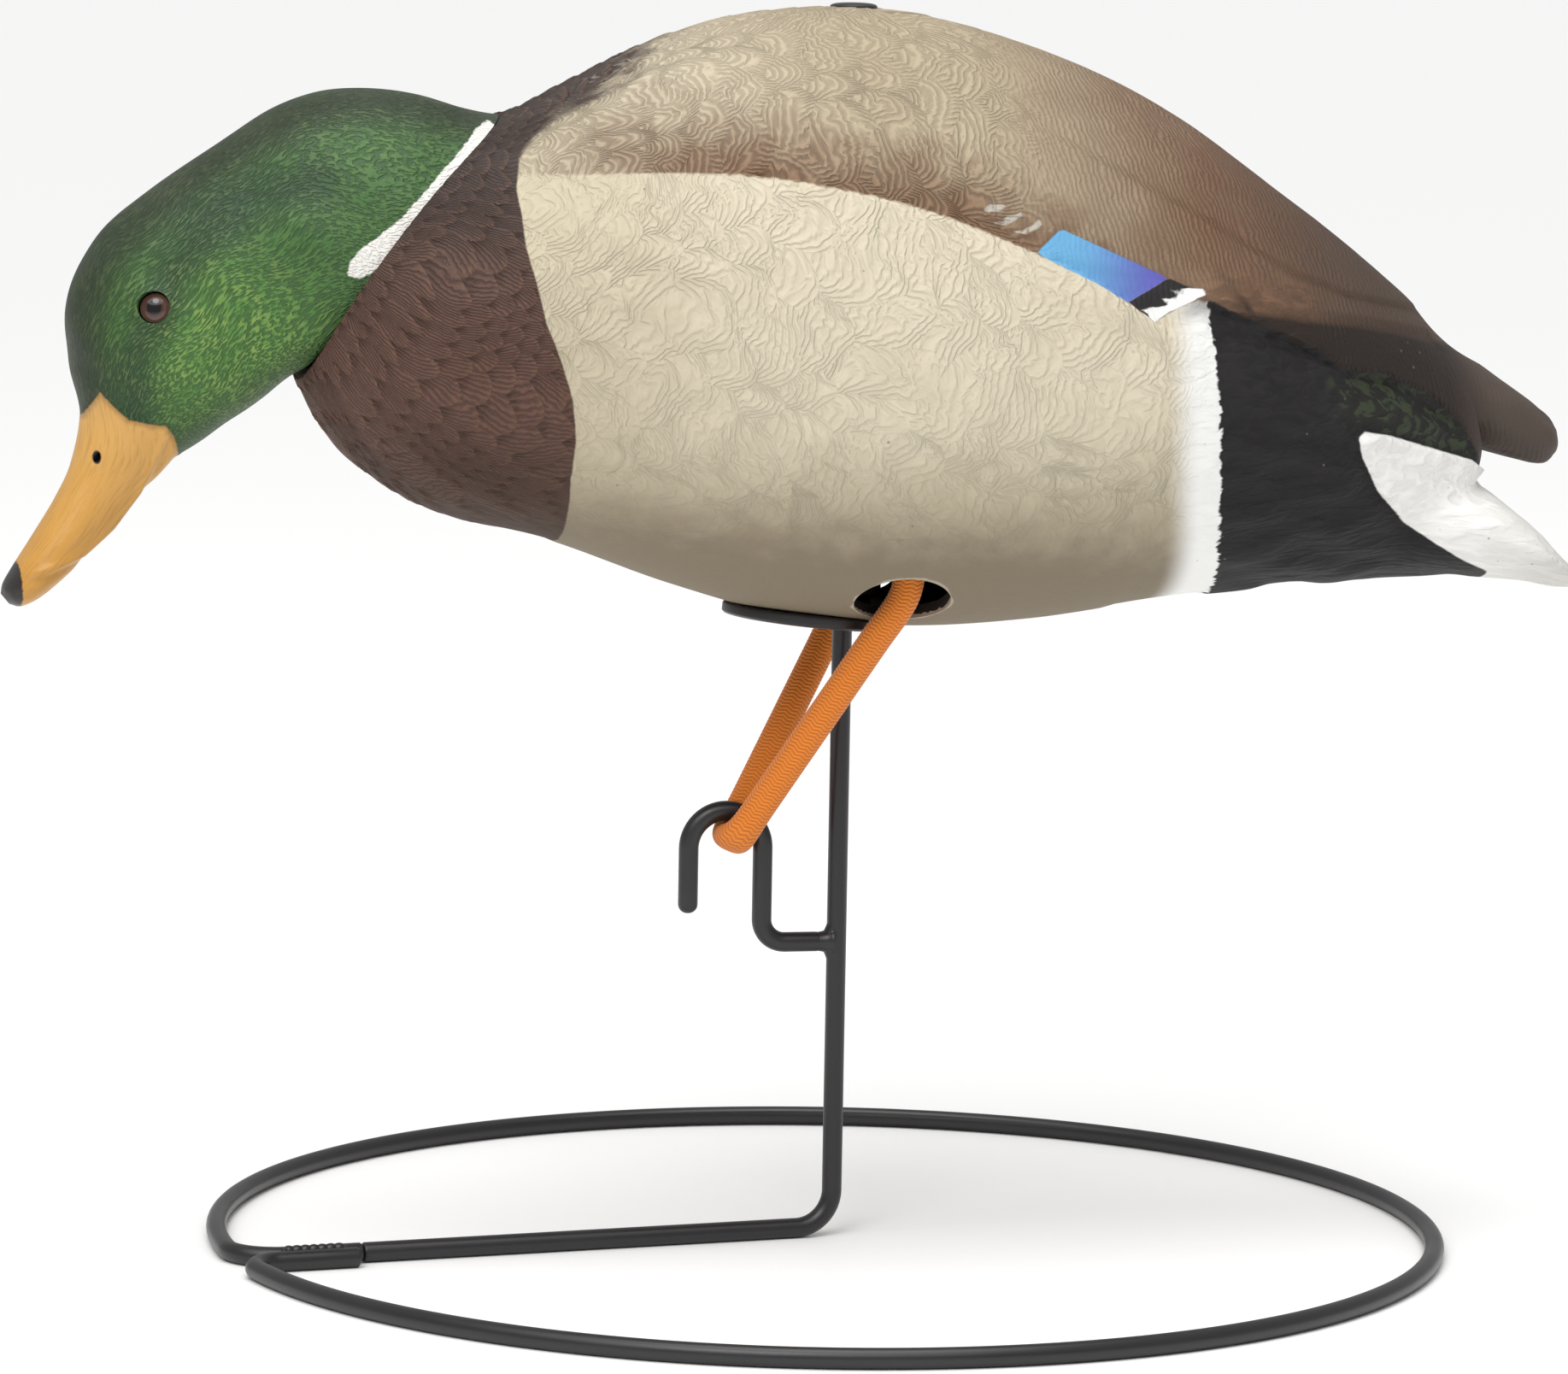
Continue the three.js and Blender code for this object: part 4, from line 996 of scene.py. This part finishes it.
def cut_openings(body):
    """Opens the neck, the belly pocket, the two holes on the pivot and the leg holes."""
    carve(body, head_side(-GAP))
    pocket = circle(FLANGE_HALF[0] + GAP, FLANGE_HALF[1] + GAP)
    carve(body, prism("pocket", pocket, flange_place(), -CUT_PAST, FLANGE_THICK + GAP))
    for name, radius, heights in (("hub_hole", HUB_R, HUB_HOLE_Z), ("cap_hole", CAP_STEM_R, CAP_HOLE_Z)):
        carve(body, prism(name, circle(radius + GAP, radius + GAP), upright_place(), *heights))
    for side in (-1, 1):
        centre = (LEG_HOLE[0], side * LEG_HOLE[1], LEG_HOLE[2])
        place = frame_at(centre, leg_hole_axis(side), (1, 0, 0))
        hole = circle(LEG_HOLE_R, LEG_HOLE_R, 80)
        carve(body, prism("leg_hole", hole, place, -LEG_HOLE_REACH, LEG_HOLE_REACH))


def make_body():
    grid, along, angle = loft(BODY_RIBS, 250, 330)
    u, v = feather_lattice(grid, along, angle, 15, 3)
    grid += grid_normals(grid) * body_relief(grid, u, v)[:, :, None]
    body = closed_grid("decoy_body", grid)
    lattice = [lattice_rows(grid, u, v)]
    add_tail(body, lattice)
    hollow_out(body)
    cut_openings(body)
    body_fields(body, np.vstack(lattice))
    stand_in(body, "body_shell", body_paint())
    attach(body, "decoy")


# ---- head and eyes ----
def head_relief(grid):
    """How far the brow, cheek, eye rims, nostrils and bill's lip stand proud, in mm."""
    x, y, z = grid.transpose(2, 0, 1)
    bill = depth_inside(x, z, BILL)
    on_bill = smooth(bill, -0.6, 0.8)
    lip = line_distance(x, z, LIP)
    below = depth_inside(x, z, LIP + [(-256, 190), (-180, 190), (-190, 262)])
    height = 0.5 * (1 - on_bill) * np.exp(-np.maximum(-bill, 0) / 5)
    ridge = 0.9 * np.exp(-((below + 1.1) / 1.3) ** 2) - 0.8 * np.exp(-((below - 1.5) / 1.2) ** 2)
    height += on_bill * ridge * smooth(x, -249, -242)
    height *= np.where(lip < 12, 1, smooth(bill, 2, -2))
    off_x, off_z = x - NOSTRIL[0], z - NOSTRIL[1]
    lean_x, lean_z = NOSTRIL_LEAN
    nostril = np.hypot(off_x * lean_z - off_z * lean_x, (off_z * lean_z + off_x * lean_x) / 1.45)
    height += np.where(np.abs(y) > 4, 0.5 * np.exp(-((nostril - 2.2) / 0.8) ** 2), 0)
    stripe = line_distance(x, z, EYE_STRIPE)
    cheek = np.hypot((x + 190) / 1.15, z - 287)
    side_share = smooth(np.abs(y), 8, 18) * (1 - on_bill)
    height += side_share * (-1.5 * np.exp(-(stripe / 8) ** 2) + 1.4 * np.exp(-(cheek / 15) ** 2))
    eye = np.array([EYE_AT[0] + ORIGIN_SHIFT, EYE_AT[1], EYE_AT[2]])
    reach = np.sqrt((x - eye[0]) ** 2 + (np.abs(y) - eye[1]) ** 2 + (z - eye[2]) ** 2)
    height += 1.5 * np.exp(-((reach - 5.9) / 1.2) ** 2)
    height += 0.25 * ripple(x, y, z, 26, 9) * (1 - on_bill)
    return height


def head_fields(head, lattice):
    """Painted zones and feather lattice as values at each vertex, in mm."""
    x, _, z = vertex_points(head).T
    set_field(head, "inner", carry_lattice(head, lattice, 2.4))
    for name, outline in (("bill", BILL), ("nail", NAIL), ("collar", COLLAR)):
        set_field(head, name, depth_inside(x, z, outline))
    set_field(head, "nostril", 1.3 - np.hypot(x - NOSTRIL[0], (z - NOSTRIL[1]) / 1.6))
    set_field(head, "cheek", np.hypot((x + 186) / 1.15, z - 288))
    skull = HEAD_RIBS[:BILL_RIB + 2]
    lines = {"eye_stripe": EYE_STRIPE, "crown": [(rib[0] + ORIGIN_SHIFT, rib[1]) for rib in skull],
             "throat": [(rib[2] + ORIGIN_SHIFT, rib[3]) for rib in skull]}
    for name, line in lines.items():
        set_field(head, name, line_distance(x, z, line))


def make_head():
    grid, along, angle = loft(HEAD_RIBS, 270, 190)
    grid += grid_normals(grid) * head_relief(grid)[:, :, None]
    mean_girth = 62
    u = np.repeat(along[:, None], len(angle), axis=1)
    v = np.repeat(angle[None, :] * mean_girth / 2, len(along), axis=0)
    v = v + 2.5 * ripple(*grid.transpose(2, 0, 1), 30, 4)
    head = closed_grid("decoy_head", grid)
    lattice = lattice_rows(grid, u, v)
    carve(head, head_side(0), "INTERSECT")
    skull_end = (BILL_RIB - 2) / (len(HEAD_RIBS) - 1)
    inside, _, _ = loft(HEAD_RIBS, 36, 40, inset=WALL, end=skull_end)
    hollow = closed_grid("skull", inside)
    carve(hollow, head_side(BRIM_SETBACK), "INTERSECT")
    carve(head, hollow)
    carve(head, neck_oval(PLUG_HALF, PLUG_HALF_Y, -PLUG_LENGTH, PLUG_ROOT), "UNION")
    carve(head, neck_oval(PLUG_HALF - WALL, PLUG_HALF_Y - WALL, -PLUG_LENGTH - 1, PLUG_ROOT + 10))
    for side in (-1, 1):
        socket = circle(EYE_R + GAP, EYE_R + GAP)
        carve(head, prism("socket", socket, eye_place(side), -EYE_SOCKET_DEPTH, CUT_PAST))
        centre = (NOSTRIL[0] - ORIGIN_SHIFT, side * NOSTRIL_Y, NOSTRIL[1])
        place = frame_at(centre, (0.1, side, 0), (NOSTRIL_LEAN[0], 0, NOSTRIL_LEAN[1]))
        carve(head, prism("nostril", circle(0.9, 1.6, 32), place, -2.2, 9))
    head_fields(head, lattice)
    stand_in(head, "head_shell", head_paint())
    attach(head, "head")


def make_eyes():
    paint = eye_paint()
    dome = [(EYE_R * math.cos(a), 0.5 + 2.3 * math.sin(a)) for a in np.linspace(0, math.pi / 2 * 0.97, 22)]
    profile = [(EYE_R - 0.4, -2.2), (EYE_R, -1.8), (EYE_R, -0.6)] + dome
    for side, label in ((-1, "left"), (1, "right")):
        place = eye_place(side)
        eye = turned(f"glass_eye_{label}", profile, place, 64)
        local = place.inverted()
        set_field(eye, "radius", [math.hypot(*(local @ Vector(p))[:2]) for p in vertex_points(eye)])
        stand_in(eye, f"eye_{label}", paint, 60)
        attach(eye, "head")


# ---- stand ----
SHORT_OFFSET = 2 * ROD_R + GAP
LONG_BEND_R = 15
SHORT_BEND_R = 10
SHORT_END = 26
STUB_END = 24
POST_BEND_R = 12
HOOK_BEND_R = 7.5
arm_out = np.array([math.cos(ARM_YAW), math.sin(ARM_YAW)])
arm_left = np.array([-arm_out[1], arm_out[0]])


def on_arm(distance, offset=0.0):
    return (*(arm_out * distance + arm_left * offset), ROD_R)


def ring_bend(side, offset, radius):
    """Centre of the bend from the ring into a run along the arm, its direction from the
    ring's centre, and how far along the arm it lies."""
    ring = np.array([RING_X, 0.0])
    sideways = offset + side * radius
    across = sideways - ring @ arm_left
    along = math.sqrt((RING_R - radius) ** 2 - across**2) + ring @ arm_out
    centre = arm_out * along + arm_left * sideways
    return centre, (centre - ring) / np.linalg.norm(centre - ring), along


def arc(centre, radius, start, end, count):
    turns = np.linspace(start, end, count)
    return [(centre[0] + radius * math.cos(t), centre[1] + radius * math.sin(t), ROD_R) for t in turns]


def heading(vector, before=None, clockwise=True):
    """A direction's angle, taken past the one before it in the wanted sense."""
    angle = math.atan2(vector[1], vector[0])
    while before is not None and clockwise and angle > before:
        angle -= 2 * math.pi
    while before is not None and not clockwise and angle < before:
        angle += 2 * math.pi
    return angle


def ring_stations():
    long_centre, long_out, long_along = ring_bend(-1, 0, LONG_BEND_R)
    short_centre, short_out, short_along = ring_bend(1, SHORT_OFFSET, SHORT_BEND_R)
    long_start = heading(long_out)
    long_end = heading(arm_left, long_start, clockwise=False)
    ring_end = heading(short_out, long_start)
    short_end = heading(-arm_left, ring_end)
    ring = arc((RING_X, 0), RING_R, long_start, ring_end, 360)
    stations = [on_arm(long_along - STUB_END), on_arm(long_along - STUB_END / 2)]
    stations += arc(long_centre, LONG_BEND_R, long_start, long_end, 20)[::-1]
    stations += ring[1:-1]
    stations += arc(short_centre, SHORT_BEND_R, ring_end, short_end, 20)
    stations += [on_arm(short_along - back, SHORT_OFFSET) for back in (SHORT_END / 2, SHORT_END)]
    return stations


def rounded_run(corners, radius, count=16):
    """Straight runs whose corners are rounded."""
    points = [Vector(c) for c in corners]
    stations = [points[0]]
    for before, corner, after in zip(points, points[1:], points[2:]):
        back, ahead = (before - corner).normalized(), (after - corner).normalized()
        half = back.angle(ahead) / 2
        centre = corner + (back + ahead).normalized() * radius / math.sin(half)
        first = corner + back * radius / math.tan(half) - centre
        last = corner + ahead * radius / math.tan(half) - centre
        stations += [centre + first.slerp(last, k / count) * radius for k in range(count + 1)]
    return [tuple(p) for p in [*stations, points[-1]]]


def blunt_ends(stations, radius, bevel):
    """Stations and radii of a rod with slightly rounded ends."""
    points = [np.array(p, float) for p in stations]
    first = (points[1] - points[0]) / np.linalg.norm(points[1] - points[0])
    last = (points[-1] - points[-2]) / np.linalg.norm(points[-1] - points[-2])
    turns = [math.pi / 2 * k / 6 for k in range(7)]
    start = [points[0] + first * bevel * (1 - math.cos(t)) for t in turns]
    stop = [points[-1] - last * bevel * (1 - math.cos(t)) for t in reversed(turns)]
    inner = points[1:-1]
    end_radii = [radius - bevel * (1 - math.sin(t)) for t in turns]
    return start + inner + stop, end_radii + [radius] * len(inner) + end_radii[::-1]


def hook_stations():
    arch_z = HOOK_TOP_Z - ARCH_R
    foot = rounded_run([(-ROD_R - GAP - 0.4, 0, HOOK_Z), (HOOK_IN_X, 0, HOOK_Z),
                        (HOOK_IN_X, 0, arch_z)], HOOK_BEND_R)
    middle = (HOOK_IN_X + HOOK_OUT_X) / 2
    turns = [math.pi * k / 28 for k in range(1, 29)]
    arch = [(middle + ARCH_R * math.cos(t), 0, arch_z + ARCH_R * math.sin(t)) for t in turns]
    return [*foot, *arch, (HOOK_OUT_X, 0, HOOK_LEG_Z), (HOOK_OUT_X, 0, HOOK_TIP_Z)]


def make_stand():
    """The stand's rods and welds, in satin black powder coat."""
    steel = mottled_paint("black_powder_coat", "161517", "211f21", 30, 3, (0.27, 0.16), grain=0.55)
    _, _, long_along = ring_bend(-1, 0, LONG_BEND_R)
    arm_corners = [on_arm(long_along - STUB_END - GAP), (0, 0, ROD_R), (0, 0, POST_TIP_Z)]
    rods = (("ring_rod", "base_ring", ring_stations(), ROD_BEVEL),
            ("arm_and_post", "arm_post", rounded_run(arm_corners, POST_BEND_R), ROD_BEVEL),
            ("hook_rod", "cord_hook", hook_stations(), HOOK_BEVEL))
    for name, node, stations, bevel in rods:
        points, radii = blunt_ends(stations, ROD_R, bevel)
        add_to_stand(swept(name, points, radii, ROD_SIDES), node, steel)
    make_welds(steel)


def make_welds(steel):
    """Weld fillets: a waisted collar on the post and a rippled bead in the groove."""
    rise = np.linspace(-7, 7, 40)
    collar = [(-1.5 * math.exp(-(h / 4) ** 2), 0, HOOK_Z + h) for h in rise]
    swell = [ROD_R - 0.35 + 0.6 * math.exp(-(h / 4) ** 2) for h in rise]
    weld = swept("hook_weld_bead", collar, swell, 40)
    reach = np.linspace(-1.5, -11, 30)
    spread = [min(ROD_R - 0.35 + 1.6 * math.exp((d + 2.2) / 2.1), 4.6) for d in reach]
    carve(weld, swept("hook_side", [(d, 0, HOOK_Z) for d in reach], spread, 40), "UNION")
    add_to_stand(weld, "hook_weld", steel)
    _, _, short_along = ring_bend(1, SHORT_OFFSET, SHORT_BEND_R)
    backs = np.linspace(2, 23, 64)
    bead = [on_arm(short_along - b, ROD_R + GAP / 2)[:2] + (ROD_R + 2.4,) for b in backs]
    swell = [1.5 + 0.35 * abs(math.sin(b * 1.15)) if 3 < b < 22 else 0.8 for b in backs]
    add_to_stand(swept("ring_weld_bead", bead, swell, 20), "ring_weld", steel)


def add_to_stand(piece, node, paint):
    stand_in(piece, node, paint, 50)
    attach(piece, "stand")


# ---- leg cord ----
CORD_CLIMB = [(11.6, 33, 209), (13.6, 34.8, 219), (14.3, 35.8, 229), (14.5, 36, 240), (14.5, 36, 245)]
HOOK_LEAN = Vector((0.511, 0, 0.86))
STRAND_ANGLE = math.radians(16)
CORD_STEP = 0.31
CORD_SIDES = 48
ZIGZAGS = 8                     # round the cord
ZIGZAG_DEPTH = 1.1              # in ribs
RIB_PITCH = 1.25


def cord_stations():
    rod = Vector(((HOOK_IN_X + HOOK_OUT_X) / 2, 0, HOOK_TOP_Z - ARCH_R)) + HOOK_LEAN * ARCH_R
    loop_r = ROD_R + CORD_R + 2 * GAP

    def on_loop(angle):
        return rod + HOOK_LEAN * (loop_r * math.sin(angle)) + Vector((0, loop_r * math.cos(angle), 0))

    turns = np.linspace(-math.pi + STRAND_ANGLE, -STRAND_ANGLE, 36)
    legs = []
    for side, foot in ((-1, on_loop(turns[0])), (1, on_loop(turns[-1]))):
        climb = [Vector((px, side * py, pz)) for px, py, pz in CORD_CLIMB]
        straight = [foot.lerp(climb[0], k / 40) for k in range(1, 34)]
        bend = catmull([straight[-1], *climb], np.linspace(0, 1, 60))
        top = (BAR_X, side * CORD_END_Y, CORD_TOP_Z)
        legs.append([*map(tuple, straight[:-1]), *map(tuple, bend), top])
    return [*legs[0][::-1], *[tuple(on_loop(t)) for t in turns], *legs[1]]


def make_cord():
    """A woven tube whose fine zigzag ribs stand slightly proud, pressed flat on the hook."""
    route = np.array(cord_stations(), float)
    run = np.concatenate([[0], np.cumsum(np.linalg.norm(np.diff(route, axis=0), axis=1))])
    even = np.linspace(0, run[-1], int(run[-1] / CORD_STEP))
    points = np.column_stack([np.interp(even, run, route[:, k]) for k in range(3)])
    for _ in range(30):
        points[1:-1] = (points[:-2] + 2 * points[1:-1] + points[2:]) / 4
    angle = np.linspace(0, 2 * math.pi, CORD_SIDES, endpoint=False)
    zigzag = np.abs(np.mod(angle * ZIGZAGS / (2 * math.pi), 1) - 0.5)
    weave = 0.5 + 0.5 * np.cos(2 * math.pi * (even[:, None] / RIB_PITCH + zigzag[None, :] * ZIGZAG_DEPTH))
    on_hook = np.exp(-((even - run[-1] / 2) / 9) ** 2)[:, None]
    flattened = 0.26 * np.cos(angle) ** 2 - 0.16 * np.sin(angle) ** 2
    radii = (CORD_R + 0.1) * (1 + on_hook * flattened) + 0.14 * weave
    cord = swept("leg_cord_braid", points, radii, CORD_SIDES)
    middle_of_ends = [0.5, 0.5]
    set_field(cord, "weave", np.concatenate([weave.ravel(), middle_of_ends]))
    stand_in(cord, "leg_cord", cord_paint(), 80)
    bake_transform(cord)


# ---- flange, cap and inner pieces ----
def make_flange(paint):
    place = flange_place()
    edge = [(0.93, 0), (0.975, 0.25), (1, 0.9), (1, 3.1), (0.99, 3.7), (0.965, FLANGE_THICK)]
    rings = [[place @ Vector((FLANGE_HALF[0] * s * c, FLANGE_HALF[1] * s * d, h))
              for c, d in circle(1, 1, 120)] for s, h in edge]
    flange = closed_grid("belly_plate", np.array(rings))
    hub = [(HUB_R, 200), (HUB_R, 235), (HUB_R - 0.6, 236)]
    carve(flange, turned("hub", hub, upright_place()), "UNION")
    carve(flange, turned("bore", [(7.2, 190), (6, 200.5), (6, 237)], upright_place()))
    stand_in(flange, "belly_flange", paint)
    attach(flange, "decoy")


def make_cap(paint):
    profile = [(CAP_STEM_R, 380.8), (CAP_STEM_R, 392.7), (7.1, 392.7), (7.5, 392.95), (7.45, 393.5),
               (6.9, 393.95), (5.6, 394.3), (3.6, 394.5), (1.6, 394.58)]
    cap = turned("pivot_cap", profile, upright_place())
    stand_in(cap, "back_cap", paint)
    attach(cap, "decoy")


def dress_inner_pieces(black):
    """Better finishes for the CAD pieces that work inside the shell."""
    nylon = mottled_paint("nylon_in_shade", "2a2826", "383532", 14, 3, (0.42, 0.16), grain=0.8)
    zinc = mottled_paint("zinc_plate", "8f9296", "b4b6b8", 5, 4, (0.22, 0.3), metallic=0.9)
    finishes = {"pivot_tube": nylon, "pivot_cup": black, "anchor_bar": zinc,
                "cord_end_left": black, "cord_end_right": black,
                "bar_cap_left": zinc, "bar_cap_right": zinc}
    for node, finish in finishes.items():
        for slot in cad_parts[node].material_slots:
            slot.material = finish


make_camera()
make_studio()
make_stand()
make_cord()
make_body()
make_head()
make_eyes()
black_plastic = mottled_paint("black_plastic", "1d1b1c", "2a2728", 14, 3, (0.32, 0.16), grain=0.8)
make_flange(black_plastic)
make_cap(black_plastic)
dress_inner_pieces(black_plastic)
